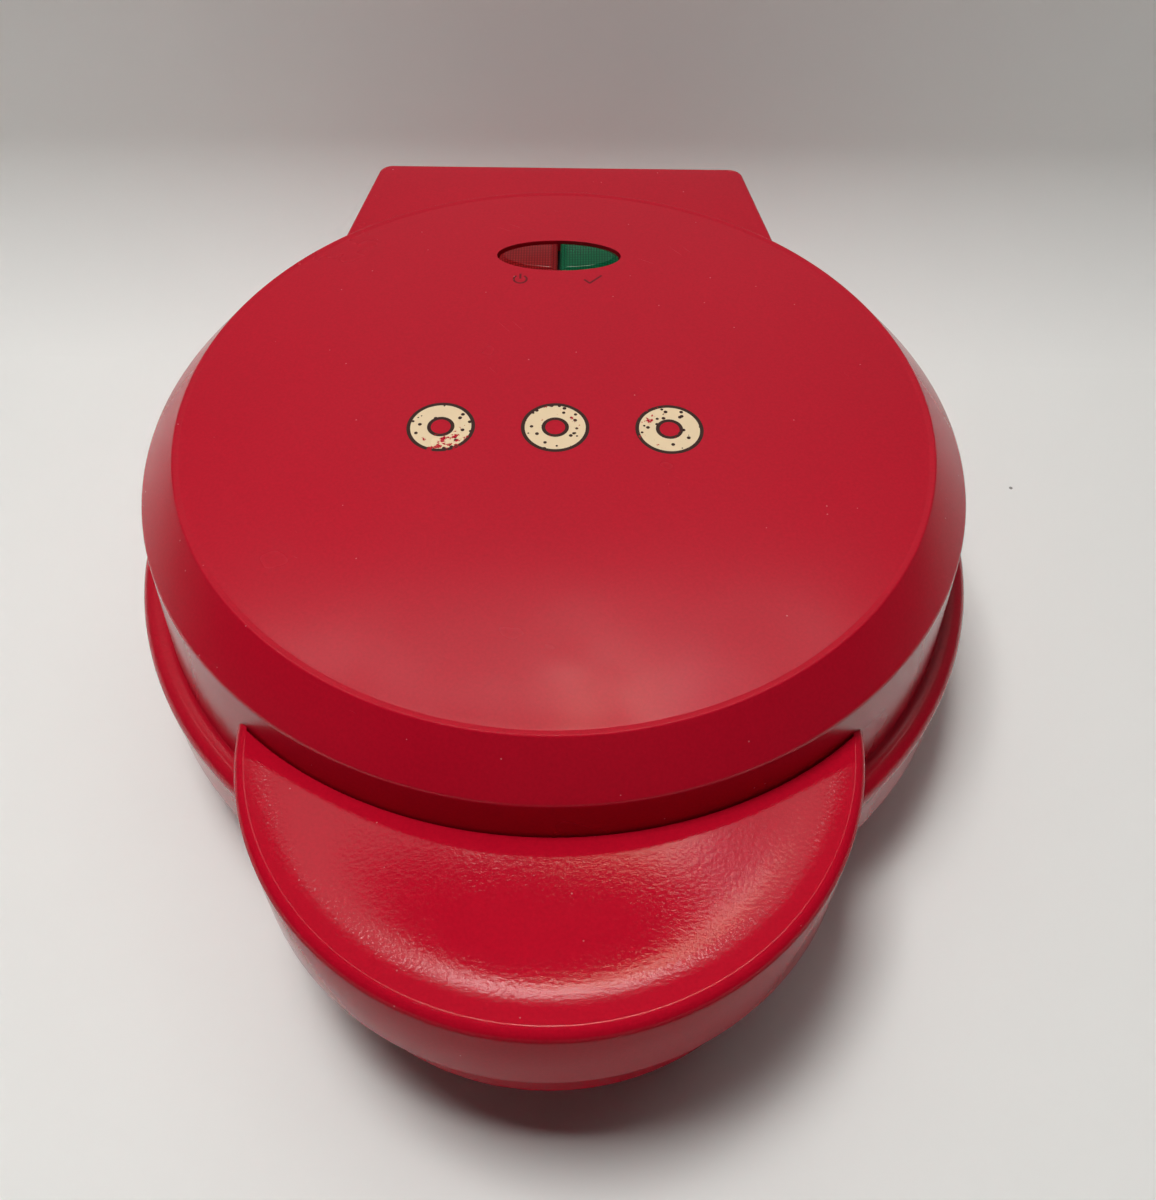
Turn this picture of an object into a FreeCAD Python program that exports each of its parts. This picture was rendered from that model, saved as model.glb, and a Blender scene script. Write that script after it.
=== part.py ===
import FreeCAD, Part
import math
import os
import re
import Sketcher

# A round countertop donut maker: a base and a lid that meet at a level parting gap and
# turn on two pins at the back. Lengths are millimetres, +Z is up and the handles point
# along -Y. Every body is drawn about the vertical axis of the round housing, then moved
# back by axis_y so that the origin is the centre of the footprint.

os.makedirs("parts", exist_ok=True)
doc = FreeCAD.newDocument("donut_maker")

SIZES = {
    # overall shape
    "axis_y": 19,
    "handle_reach": 159,
    "wall": 2.5,
    "foot_height": 4.5,
    "base_top": 45,
    "lid_bottom": 45.8,
    # lid outline, from the centre of the dome out to the rim
    "dome_top": 100.3,
    "dome_edge_radius": 98.6,
    "dome_edge_z": 97.4,
    "shoulder_radius": 102.4,
    "shoulder_z": 95.2,
    "crease_radius": 111.2,
    "crease_z": 85.5,
    "skirt_radius": 113.4,
    "skirt_z": 57,
    "rim_radius": 118.2,
    "rim_height": 4.4,
    "rim_bead": 2.25,
    # base outline
    "bowl_floor_radius": 94,
    "bowl_turn": 26,
    "bowl_side_radius": 118.9,
    "bowl_side_z": 25,
    "bowl_wide_radius": 119.5,
    "bowl_wide_z": 29,
    "bowl_rim_radius": 118.8,
    # hinge
    "hinge_y": 111,
    "hinge_z": 52,
    "barrel_radius": 10,
    "barrel_gap": 0.8,
    "barrel_half": 58.5,
    "notch_half": 60.2,
    "shroud_half": 62,
    "pin_radius": 2.5,
    "pin_play": 0.05,
    "pin_inner_x": 39,
    "pin_outer_x": 57,
    "lug_x": 44,
    "lug_width": 8,
    "lug_gap": 0.6,
    "lug_radius": 8.8,
    "block_back": 121.2,
    "block_front": 81,
    "block_back_half": 59,
    "block_front_half": 67,
    "block_bottom": 64.5,
    "block_top": 93.4,
    "block_corner": 4.5,
    "rear_flat": 96.5,
    # handles
    "handle_y": -83.3,
    "handle_radius": 75.7,
    "handle_bottom": 46,
    "handle_top": 75,
    "base_handle_radius": 70,
    "base_handle_bottom": 17,
    "base_handle_top": 44.4,
    "handle_screw_x": 35,
    "handle_screw_z": 62,
    "base_handle_screw_z": 30,
    "handle_seat_y": 105.4,
    "handle_post_x": 32,
    "handle_post_y": -138,
    # cooking plates
    "ring_count": 6,
    "ring_pitch": 65,
    "ring_major": 19,
    "ring_minor": 10.5,
    "cast_wall": 2,
    "plate_radius": 102.8,
    "plate_thickness": 3,
    "plate_post_pitch": 40,
    "plate_post_radius": 3.5,
    # plate frames
    "ledge_radius": 98.5,
    "ledge_depth": 2.5,
    "frame_bore": 103.1,
    "frame_depth": 4,
    "frame_drop": 0.4,
    "lower_frame_radius": 115.4,
    "upper_frame_radius": 112.8,
    "lower_post_pitch": 108,
    "post_start": 13.2,
    "upper_post_pitch": 107,
    "post_radius": 4,
    # heating
    "element_radius": 3.25,
    "terminal_x": 12,
    "terminal_length": 9,
    "reflector_gap": 1.2,
    "sheet": 0.8,
    "pan_radius": 98,
    "pan_flange": 102,
    # indicator window
    "window_y": 66.5,
    "window_half_length": 18.2,
    "window_half_width": 7.3,
    "window_play": 0.3,
    "window_split": 0.35,
    "window_proud": 98.4,
    "holder_z": 91.5,
    "holder_thickness": 3,
    "holder_half": 32,
    "holder_screw_x": 26,
    "lamp_x": 9,
    "lamp_radius": 3,
    "thermostat_screw_x": 17.5,
    # wiring
    "lead_radius": 1.2,
    "lead_bend": 3,
    "bush_x": 34,
    "bush_z": 20,
    "cord_radius": 3.3,
    # fasteners
    "shank": 1.5,
    "head": 3,
    "head_height": 1.6,
}

sheet = doc.addObject("Spreadsheet::Sheet", "sizes")
for row, (name, number) in enumerate(SIZES.items(), start=1):
    sheet.set("A%d" % row, name)
    sheet.set("B%d" % row, str(number))
    sheet.setAlias("B%d" % row, name)
doc.recompute()

# Heights derived from the sizes above, as formulas.
UPPER_FACE = "lid_bottom"
LOWER_FACE = "base_top"
UPPER_PAN = "(lid_bottom + ring_minor + cast_wall + 2 * element_radius + reflector_gap)"
LOWER_PAN = "(base_top - ring_minor - cast_wall - 2 * element_radius - reflector_gap)"
UPPER_ELEMENT = "(lid_bottom + ring_minor + cast_wall + element_radius)"
LOWER_ELEMENT = "(base_top - ring_minor - cast_wall - element_radius)"
FLOOR = "(foot_height + wall)"

NAMES = set(SIZES)
bodies = []


def formula(text):
    """Put the sheet's name before every size in a formula."""
    def prefix(match):
        word = match.group(0)
        return "sizes." + word if word in NAMES else word
    return re.sub(r"[a-z_][a-z_0-9]*", prefix, str(text))


def number(text):
    """Return the present value of a formula."""
    return float(sheet.evalExpression(formula(text)))


def new_body(label):
    """Start a body that is drawn about the housing axis."""
    body = doc.addObject("PartDesign::Body", label)
    body.Label = label
    body.setExpression(".Placement.Base.y", formula("axis_y"))
    bodies.append(body)
    return body


def origin_item(body, role):
    for item in body.Origin.OriginFeatures:
        if item.Role == role:
            return item
    raise ValueError(role)


def new_sketch(body, plane, offset="0"):
    """Attach an empty sketch to one of the body's own planes."""
    sketch = body.newObject("Sketcher::SketchObject", body.Label + "_sketch")
    sketch.AttachmentSupport = [(origin_item(body, plane + "_Plane"), "")]
    sketch.MapMode = "FlatFace"
    sketch.setExpression(".AttachmentOffset.Base.z", formula(offset))
    return sketch


def bind(sketch, kind, *where, size):
    """Add a dimension and tie it to a formula."""
    index = sketch.addConstraint(Sketcher.Constraint(kind, *where, number(size)))
    sketch.setExpression("Constraints[%d]" % index, formula(size))


def arc_between(start, end, radius, left):
    """Return the shorter arc from start to end, bulging to the left or the right."""
    chord = end - start
    middle = (start + end) * 0.5
    normal = FreeCAD.Vector(-chord.y, chord.x, 0).normalize()
    drop = math.sqrt(max(radius ** 2 - (chord.Length / 2) ** 2, 0))
    centre = middle - normal * drop if left else middle + normal * drop
    first, last = (end, start) if left else (start, end)
    circle = Part.Circle(centre, FreeCAD.Vector(0, 0, 1), radius)
    angles = [math.atan2((p - centre).y, (p - centre).x) for p in (first, last)]
    return Part.ArcOfCircle(circle, angles[0], angles[1])


def outline(sketch, corners):
    """Draw a closed outline. A corner is (x, y) or (x, y, arc radius to the next corner).

    A positive radius bulges to the right of the direction of travel, a negative one to
    the left.
    """
    spots = [FreeCAD.Vector(number(c[0]), number(c[1]), 0) for c in corners]
    starts = []
    ends = []
    for place, corner in enumerate(corners):
        here = spots[place]
        there = spots[(place + 1) % len(spots)]
        if len(corner) == 3:
            radius = number(corner[2])
            left = radius < 0
            edge = sketch.addGeometry(arc_between(here, there, abs(radius), left), False)
            size = "abs(%s)" % corner[2]
            bind(sketch, "Radius", edge, size=size)
            starts.append((edge, 2 if left else 1))
            ends.append((edge, 1 if left else 2))
        else:
            edge = sketch.addGeometry(Part.LineSegment(here, there), False)
            starts.append((edge, 1))
            ends.append((edge, 2))
    for place in range(len(corners)):
        following = starts[(place + 1) % len(corners)]
        sketch.addConstraint(Sketcher.Constraint("Coincident", *ends[place], *following))
    for place, corner in enumerate(corners):
        bind(sketch, "DistanceX", -1, 1, *starts[place], size=corner[0])
        bind(sketch, "DistanceY", -1, 1, *starts[place], size=corner[1])


def circle(sketch, x, y, radius):
    """Draw a circle whose centre and radius come from the sheet."""
    centre = FreeCAD.Vector(number(x), number(y), 0)
    shape = Part.Circle(centre, FreeCAD.Vector(0, 0, 1), number(radius))
    edge = sketch.addGeometry(shape, False)
    bind(sketch, "Radius", edge, size=radius)
    bind(sketch, "DistanceX", -1, 1, edge, 3, size=x)
    bind(sketch, "DistanceY", -1, 1, edge, 3, size=y)


def ellipse(sketch, x, y, half_length, half_width):
    """Draw an ellipse with its long axis along the sketch's X."""
    centre = FreeCAD.Vector(number(x), number(y), 0)
    edge = sketch.addGeometry(Part.Ellipse(centre, number(half_length), number(half_width)), False)
    sketch.exposeInternalGeometry(edge)
    sketch.addConstraint(Sketcher.Constraint("Horizontal", edge + 1))
    bind(sketch, "Distance", edge + 1, size="2 * (%s)" % half_length)
    bind(sketch, "Distance", edge + 2, size="2 * (%s)" % half_width)
    bind(sketch, "DistanceX", -1, 1, edge, 3, size=x)
    bind(sketch, "DistanceY", -1, 1, edge, 3, size=y)


def rectangle(sketch, x0, y0, x1, y1):
    outline(sketch, [(x0, y0), (x1, y0), (x1, y1), (x0, y1)])


def finish_feature(body, feature, kind):
    """Recompute and stop at once if the feature failed."""
    body.Tip = feature
    doc.recompute()
    if "Invalid" in feature.State or feature.Shape.isNull():
        raise RuntimeError("%s failed on %s" % (kind, body.Label))
    return feature


def pad(body, sketch, length):
    """Add material along the sketch plane's normal."""
    feature = body.newObject("PartDesign::Pad", body.Label + "_pad")
    feature.Profile = sketch
    feature.setExpression("Length", formula(length))
    sketch.Visibility = False
    return finish_feature(body, feature, "pad")


def pocket(body, sketch, length):
    """Take material away along the sketch plane's normal."""
    before = body.Shape.Volume
    feature = body.newObject("PartDesign::Pocket", body.Label + "_pocket")
    feature.Profile = sketch
    feature.Reversed = True
    feature.setExpression("Length", formula(length))
    sketch.Visibility = False
    finish_feature(body, feature, "pocket")
    if feature.Shape.Volume > before - 0.01:
        raise RuntimeError("a pocket missed the material of " + body.Label)
    return feature


def turn(body, sketch, kind="Revolution"):
    """Revolve a sketch all round its own vertical axis."""
    feature = body.newObject("PartDesign::" + kind, body.Label + "_" + kind.lower())
    feature.Profile = sketch
    feature.ReferenceAxis = (sketch, ["V_Axis"])
    feature.Angle = 360
    sketch.Visibility = False
    return finish_feature(body, feature, kind)


def repeat_around(body, features, count):
    """Copy features around the housing axis."""
    pattern = body.newObject("PartDesign::PolarPattern", body.Label + "_around")
    pattern.Originals = features
    pattern.Axis = (origin_item(body, "Z_Axis"), [""])
    pattern.Angle = 360
    body.Tip = pattern
    pattern.setExpression("Occurrences", formula(count))
    return finish_feature(body, pattern, "pattern")


def mirror_x(body, features):
    """Copy features to the other side of the centre plane."""
    mirrored = body.newObject("PartDesign::Mirrored", body.Label + "_mirrored")
    mirrored.Originals = features
    mirrored.MirrorPlane = (origin_item(body, "YZ_Plane"), [""])
    return finish_feature(body, mirrored, "mirror")


def round_edges(body, radius, wanted):
    """Fillet the edges for which wanted(edge) is true."""
    tip = body.Tip
    names = []
    for place, edge in enumerate(tip.Shape.Edges, start=1):
        if wanted(edge):
            names.append("Edge%d" % place)
    if not names:
        raise RuntimeError("no edge to round on " + body.Label)
    feature = body.newObject("PartDesign::Fillet", body.Label + "_fillet")
    feature.Base = (tip, names)
    feature.setExpression("Radius", formula(radius))
    return finish_feature(body, feature, "fillet")


def upright(edge):
    """True for a straight vertical edge."""
    ends = [v.Point for v in edge.Vertexes]
    if len(ends) != 2:
        return False
    step = ends[1] - ends[0]
    return abs(step.x) < 0.01 and abs(step.y) < 0.01 and abs(step.z) > 1


def level_at(height):
    """Return a test for edges that lie in one horizontal plane."""
    def test(edge):
        box = edge.BoundBox
        return abs(box.ZMin - height) < 0.01 and abs(box.ZMax - height) < 0.01
    return test


def disc(body, x, y, z, radius, length, plane="XY"):
    """Add a cylinder on one of the planes."""
    sketch = new_sketch(body, plane, z)
    circle(sketch, x, y, radius)
    return pad(body, sketch, length)


def drill(body, x, y, z, radius, length, plane="XY"):
    """Cut a round hole from one of the planes."""
    sketch = new_sketch(body, plane, z)
    circle(sketch, x, y, radius)
    return pocket(body, sketch, length)


def block(body, x0, y0, x1, y1, z, length, plane="XY"):
    """Add a box on one of the planes."""
    sketch = new_sketch(body, plane, z)
    rectangle(sketch, x0, y0, x1, y1)
    return pad(body, sketch, length)


def slot(body, x0, y0, x1, y1, z, length, plane="XY"):
    """Cut a box from one of the planes."""
    sketch = new_sketch(body, plane, z)
    rectangle(sketch, x0, y0, x1, y1)
    return pocket(body, sketch, length)


# ---------------------------------------------------------------- shared outlines

LID_OUTSIDE = [
    ("0", "lid_bottom"),
    ("rim_radius", "lid_bottom", "rim_bead"),
    ("rim_radius", "lid_bottom + rim_height", "-9"),
    ("skirt_radius", "skirt_z"),
    ("crease_radius", "crease_z"),
    ("shoulder_radius", "shoulder_z", "4"),
    ("dome_edge_radius", "dome_edge_z", "1700"),
    ("0", "dome_top"),
]

LID_INSIDE = [
    ("0", "lid_bottom"),
    ("rim_radius - 3.2", "lid_bottom"),
    ("skirt_radius - wall", "skirt_z"),
    ("crease_radius - wall", "crease_z - 1"),
    ("shoulder_radius - wall", "shoulder_z - wall", "5"),
    ("dome_edge_radius - 3", "dome_edge_z - wall", "1700"),
    ("0", "dome_top - wall"),
]

BASE_OUTSIDE = [
    ("0", "foot_height"),
    ("bowl_floor_radius", "foot_height", "bowl_turn"),
    ("bowl_side_radius", "bowl_side_z"),
    ("bowl_wide_radius", "bowl_wide_z"),
    ("bowl_rim_radius", "base_top"),
    ("0", "base_top"),
]

BASE_INSIDE = [
    ("0", "foot_height + wall"),
    ("bowl_floor_radius - 1", "foot_height + wall", "bowl_turn - wall"),
    ("bowl_side_radius - wall", "bowl_side_z"),
    ("bowl_wide_radius - wall", "bowl_wide_z"),
    ("bowl_rim_radius - wall", "base_top"),
    ("0", "base_top"),
]


def revolve(body, corners, kind="Revolution"):
    sketch = new_sketch(body, "XZ")
    outline(sketch, corners)
    return turn(body, sketch, kind)


def block_footprint(sketch, inset="0"):
    """Draw the tapering plan of the hinge block."""
    outline(sketch, [
        ("-(block_front_half - %s)" % inset, "block_front"),
        ("block_front_half - %s" % inset, "block_front"),
        ("block_back_half - %s" % inset, "block_back - %s" % inset),
        ("-(block_back_half - %s)" % inset, "block_back - %s" % inset),
    ])


def half_disc(sketch, radius):
    """Draw the plan of a handle: a half disc closed inside the housing."""
    outline(sketch, [
        ("-(%s)" % radius, "handle_y", radius),
        ("0", "handle_y - (%s)" % radius, radius),
        ("%s" % radius, "handle_y"),
    ])


# ---------------------------------------------------------------- lid shell

def make_lid_shell():
    body = new_body("lid_shell")
    plan = new_sketch(body, "XY", "block_bottom")
    block_footprint(plan)
    pad(body, plan, "block_top - block_bottom")
    round_edges(body, "block_corner",
                lambda e: upright(e) and e.BoundBox.YMin > number("block_back") - 1)
    round_edges(body, "1.2", level_at(number("block_top")))
    revolve(body, LID_OUTSIDE)

    revolve(body, LID_INSIDE, "Groove")
    shroud = new_sketch(body, "YZ", "-notch_half")
    circle(shroud, "hinge_y", "hinge_z", "barrel_radius + barrel_gap + wall")
    pad(body, shroud, "2 * notch_half")
    cheek = block(body, "hinge_y - 14", "lid_bottom - 1", "hinge_y - 9", "hinge_z + 12",
                  "notch_half - 0.2", "shroud_half - notch_half + 0.2", "YZ")
    web = block(body, "hinge_y - 18", "lid_bottom + frame_drop + frame_depth + 0.4",
                "hinge_y - 13", "hinge_z + 12", "notch_half - 0.2",
                "shroud_half - notch_half + 0.2", "YZ")
    mirror_x(body, [cheek, web])

    plan = new_sketch(body, "XY", "block_bottom + wall")
    block_footprint(plan, "wall")
    pocket(body, plan, "block_top - block_bottom - 2 * wall")

    notch = new_sketch(body, "YZ", "-notch_half")
    circle(notch, "hinge_y", "hinge_z", "barrel_radius + barrel_gap")
    pocket(body, notch, "2 * notch_half")
    slot(body, "hinge_y + 3", "30", "hinge_y + 20", "block_bottom + 0.4",
         "-notch_half", "2 * notch_half", "YZ")
    slot(body, "80", "30", "hinge_y + 20", "lid_bottom",
         "-shroud_half - 1", "2 * shroud_half + 2", "YZ")

    lug = new_sketch(body, "YZ", "lug_x")
    outline(lug, [
        ("hinge_y - lug_radius", "hinge_z", "lug_radius"),
        ("hinge_y", "hinge_z - lug_radius", "lug_radius"),
        ("hinge_y + lug_radius", "hinge_z"),
        ("hinge_y + lug_radius - 1", "block_bottom + 1"),
        ("hinge_y - lug_radius + 1", "block_bottom + 1"),
    ])
    lug_pad = pad(body, lug, "lug_width")
    lug_bore = drill(body, "hinge_y", "hinge_z", "lug_x - 1", "pin_radius + pin_play",
                     "lug_width + 2", "YZ")
    mirror_x(body, [lug_pad, lug_bore])

    post = disc(body, "upper_post_pitch", "0", "lid_bottom + frame_drop + frame_depth",
                "post_radius", "34")
    hole = drill(body, "upper_post_pitch", "0", "lid_bottom + frame_drop + frame_depth",
                 "shank", "9")
    repeat_around(body, [post, hole], "6")

    lamp_post = disc(body, "holder_screw_x", "window_y", "holder_z + holder_thickness",
                     "post_radius", "2.6")
    lamp_hole = drill(body, "holder_screw_x", "window_y", "holder_z + holder_thickness",
                      "shank", "2.4")
    mirror_x(body, [lamp_post, lamp_hole])

    window = new_sketch(body, "XY", "holder_z + holder_thickness")
    ellipse(window, "0", "window_y", "window_half_length + window_play",
            "window_half_width + window_play")
    pocket(body, window, "8")

    seat = drill(body, "handle_screw_x", "handle_screw_z", "handle_seat_y - 6", "4",
                 "6", "XZ")
    through = drill(body, "handle_screw_x", "handle_screw_z", "handle_seat_y - 1", "shank",
                    "9", "XZ")
    mirror_x(body, [seat, through])
    return body


# ---------------------------------------------------------------- base shell

def make_base_shell():
    body = new_body("base_shell")
    revolve(body, BASE_OUTSIDE)
    plan = new_sketch(body, "XY", "foot_height")
    block_footprint(plan)
    pad(body, plan, "base_top - foot_height")
    round_edges(body, "block_corner",
                lambda e: upright(e) and e.BoundBox.YMin > number("block_back") - 1)
    revolve(body, BASE_INSIDE, "Groove")

    housing = new_sketch(body, "YZ", "-barrel_half")
    outline(housing, [
        ("rear_flat + 1", "foot_height + 1"),
        ("rear_flat + 1", "base_top"),
        ("hinge_y - sqrt(barrel_radius ^ 2 - (hinge_z - base_top) ^ 2)", "base_top",
         "-barrel_radius"),
        ("hinge_y", "hinge_z + barrel_radius", "-barrel_radius"),
        ("hinge_y + barrel_radius", "hinge_z"),
        ("hinge_y + barrel_radius", "foot_height + 1"),
    ])
    pad(body, housing, "2 * barrel_half")

    inside = new_sketch(body, "YZ", "-(barrel_half - wall)")
    outline(inside, [
        ("rear_flat + 1 + wall", "foot_height + wall"),
        ("rear_flat + 1 + wall", "base_top - wall"),
        ("hinge_y - barrel_radius + wall", "base_top - wall"),
        ("hinge_y - barrel_radius + wall", "hinge_z", "-(barrel_radius - wall)"),
        ("hinge_y", "hinge_z + barrel_radius - wall", "-(barrel_radius - wall)"),
        ("hinge_y + barrel_radius - wall", "hinge_z"),
        ("hinge_y + barrel_radius - wall", "foot_height + wall"),
    ])
    pocket(body, inside, "2 * (barrel_half - wall)")

    ribs = []
    for start in ("pin_inner_x", "lug_x + lug_width + lug_gap"):
        rib = new_sketch(body, "YZ", start)
        outline(rib, [
            ("hinge_y - barrel_radius + 3", "base_top - 4"),
            ("hinge_y - barrel_radius + 3", "base_top"),
            ("hinge_y - barrel_radius + 1", "hinge_z", "-(barrel_radius - 1)"),
            ("hinge_y", "hinge_z + barrel_radius - 1", "-(barrel_radius - 1)"),
            ("hinge_y + barrel_radius - 1", "hinge_z"),
            ("hinge_y + barrel_radius - 1", "base_top - 4"),
        ])
        ribs.append(pad(body, rib, "pin_outer_x - lug_x - lug_width - lug_gap"))
    opening = slot(body, "hinge_y - barrel_radius - 2", "hinge_z - 12", "hinge_y + 14",
                   "hinge_z + 14", "lug_x - lug_gap", "lug_width + 2 * lug_gap", "YZ")
    bore = drill(body, "hinge_y", "hinge_z", "pin_inner_x - 1", "pin_radius",
                 "pin_outer_x - pin_inner_x + 1", "YZ")
    mirror_x(body, ribs + [opening, bore])

    slot(body, "-25", "foot_height + wall + 1", "25", "foot_height + wall + 12",
         "-(rear_flat + 1 + wall + 1)", "wall + 2", "XZ")

    disc(body, "bush_x", "bush_z", "-(block_back - 0.2)", "9.5", "5.8", "XZ")
    drill(body, "bush_x", "bush_z", "-block_back - 1", "5.4", "8", "XZ")
    drill(body, "bush_x", "bush_z", "-block_back - 1", "7.6", "3", "XZ")

    post = disc(body, "lower_post_pitch", "0", "post_start", "post_radius + 0.6",
                "base_top - frame_drop - frame_depth - post_start")
    pit = drill(body, "lower_post_pitch", "0", "foot_height - 1", "head + 0.4", "24.5")
    hole = drill(body, "lower_post_pitch", "0", "foot_height - 1", "shank", "42")
    repeat_around(body, [post, pit, hole], "6")

    seat = drill(body, "handle_screw_x", "base_handle_screw_z", "handle_seat_y", "4",
                 "6", "XZ")
    through = drill(body, "handle_screw_x", "base_handle_screw_z", "handle_seat_y - 1",
                    "shank", "16", "XZ")
    mirror_x(body, [seat, through])

    for x, y in FOOT_PLACES.values():
        drill(body, x, y, "foot_height - 1", "3", "wall + 2")
    for x in (-1, 1):
        for y in range(-3, 4):
            slot(body, "%d * 32 - 10" % x, "%d * 7 - 1.2" % y, "%d * 32 + 10" % x,
                 "%d * 7 + 1.2" % y, "foot_height - 1", "wall + 2")
    return body


FOOT_PLACES = {
    "foot_front_left": ("-58", "-58"),
    "foot_front_right": ("58", "-58"),
    "foot_rear_left": ("-52", "78"),
    "foot_rear_right": ("52", "78"),
}


def make_foot(label):
    x, y = FOOT_PLACES[label]
    body = new_body(label)
    disc(body, x, y, "0", "9", "foot_height")
    round_edges(body, "1", level_at(0))
    disc(body, x, y, "foot_height", "3", "wall + 0.8")
    return body


# ---------------------------------------------------------------- handles

def make_lid_handle():
    body = new_body("lid_handle")
    plan = new_sketch(body, "XY", "handle_bottom")
    half_disc(plan, "handle_radius")
    pad(body, plan, "handle_top - handle_bottom")
    round_edges(body, "4", lambda e: level_at(number("handle_top"))(e)
                and e.BoundBox.YMin < number("handle_y") - 10)
    plan = new_sketch(body, "XY", "handle_bottom")
    half_disc(plan, "handle_radius - wall")
    pocket(body, plan, "handle_top - handle_bottom - wall")
    boss = disc(body, "handle_screw_x", "handle_screw_z", "100", "5", "46.5", "XZ")
    post = disc(body, "handle_post_x", "handle_post_y", "handle_bottom + 2.4", "4",
                "handle_top - handle_bottom - wall - 2")
    mirror_x(body, [boss, post])
    revolve(body, LID_OUTSIDE, "Groove")
    bore = drill(body, "handle_screw_x", "handle_screw_z", "100", "shank", "22", "XZ")
    pilot = drill(body, "handle_post_x", "handle_post_y", "handle_bottom + 2", "shank", "9")
    mirror_x(body, [bore, pilot])
    return body


def make_base_handle():
    body = new_body("base_handle")
    plan = new_sketch(body, "XY", "base_handle_bottom")
    half_disc(plan, "base_handle_radius")
    pad(body, plan, "base_handle_top - base_handle_bottom")
    round_edges(body, "5", lambda e: level_at(number("base_handle_bottom"))(e)
                and e.BoundBox.YMin < number("handle_y") - 10)
    plan = new_sketch(body, "XY", "base_handle_bottom + wall")
    half_disc(plan, "base_handle_radius - wall")
    pocket(body, plan, "base_handle_top - base_handle_bottom")
    boss = disc(body, "handle_screw_x", "base_handle_screw_z", "100", "5", "39.5", "XZ")
    mirror_x(body, [boss])
    revolve(body, BASE_OUTSIDE, "Groove")
    bore = drill(body, "handle_screw_x", "base_handle_screw_z", "100", "shank", "24", "XZ")
    mirror_x(body, [bore])
    return body


def make_handle_cover(label, radius, z, thickness, profile, reach):
    """Make the plate that closes a handle, with two posts that reach the far wall."""
    body = new_body(label)
    plan = new_sketch(body, "XY", z)
    half_disc(plan, radius)
    pad(body, plan, thickness)
    revolve(body, profile, "Groove")
    if reach:
        low, length = reach
        post = disc(body, "handle_post_x - 12", "handle_post_y + 6", low, "4", length)
        mirror_x(body, [post])
    else:
        pit = drill(body, "handle_post_x", "handle_post_y", "handle_bottom - 1", "head + 0.3",
                    "1.9")
        hole = drill(body, "handle_post_x", "handle_post_y", "handle_bottom - 1", "shank", "5")
        mirror_x(body, [pit, hole])
    return body


# ---------------------------------------------------------------- hot parts

def cut_rear_flat(body):
    """Trim a ring or plate straight at the back, in front of the hinge."""
    slot(body, "-130", "rear_flat", "130", "130", "0", "110")


def make_plate(label, face, sign, pan):
    """Make a cast cooking plate. sign is 1 when its back is above its face."""
    body = new_body(label)
    back = "(%s + %d * plate_thickness)" % (face, sign)
    low, high = (face, back) if sign > 0 else (back, face)
    disc(body, "0", "0", low, "plate_radius", "plate_thickness")
    bulges = []
    for centre in ("0", "ring_pitch"):
        torus = body.newObject("PartDesign::AdditiveTorus", label + "_bulge")
        torus.setExpression("Radius1", formula("ring_major"))
        torus.setExpression("Radius2", formula("ring_minor + cast_wall"))
        place_primitive(body, torus, centre, face)
        bulges.append(torus)
    repeat_around(body, [bulges[1]], "ring_count")
    side_z = "(%s - 30)" % face if sign > 0 else face
    slot(body, "-130", "-130", "130", "130", side_z, "30")
    hollows = []
    for centre in ("0", "ring_pitch"):
        torus = body.newObject("PartDesign::SubtractiveTorus", label + "_cavity")
        torus.setExpression("Radius1", formula("ring_major"))
        torus.setExpression("Radius2", formula("ring_minor"))
        place_primitive(body, torus, centre, face)
        hollows.append(torus)
    repeat_around(body, [hollows[1]], "ring_count")
    start, length = (back, "%s - %s" % (pan, back)) if sign > 0 else (pan, "%s - %s" % (back, pan))
    post = disc(body, "plate_post_pitch * cos(30)", "plate_post_pitch * sin(30)", start,
                "plate_post_radius", length)
    depth_start = "%s - 9" % pan if sign > 0 else "%s - 1" % pan
    bore = drill(body, "plate_post_pitch * cos(30)", "plate_post_pitch * sin(30)",
                 depth_start, "shank", "10")
    repeat_around(body, [post, bore], "3")
    cut_rear_flat(body)
    return body


def place_primitive(body, primitive, x, z):
    """Set a primitive on the body's ground plane at a height and a radius."""
    primitive.AttachmentSupport = [(origin_item(body, "XY_Plane"), "")]
    primitive.MapMode = "FlatFace"
    primitive.setExpression(".AttachmentOffset.Base.x", formula(x))
    primitive.setExpression(".AttachmentOffset.Base.z", formula(z))
    finish_feature(body, primitive, "torus")


def make_frame(label, radius, near, sign, pitch):
    """Make the black ring that carries a plate on its inner ledge."""
    body = new_body(label)
    far = "(%s + %d * frame_depth)" % (near, sign)
    seat = "(%s + %d * (plate_thickness - frame_drop))" % (near, sign)
    under = "(%s + %d * ledge_depth)" % (seat, sign)
    corners = [
        ("frame_bore", near), (radius, near), (radius, far), ("frame_bore - 0.2", far),
        ("frame_bore - 0.2", under), ("ledge_radius", under), ("ledge_radius", seat),
        ("frame_bore", seat),
    ]
    revolve(body, corners)
    low = "%s - 1" % near if sign > 0 else "%s - 10" % near
    hole = drill(body, pitch, "0", low, "shank", "11")
    holes = [hole]
    if sign > 0:
        holes.append(drill(body, pitch, "0", low, "head + 0.4", "1 + head_height + 0.2"))
    repeat_around(body, holes, "6")
    cut_rear_flat(body)
    return body


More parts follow.
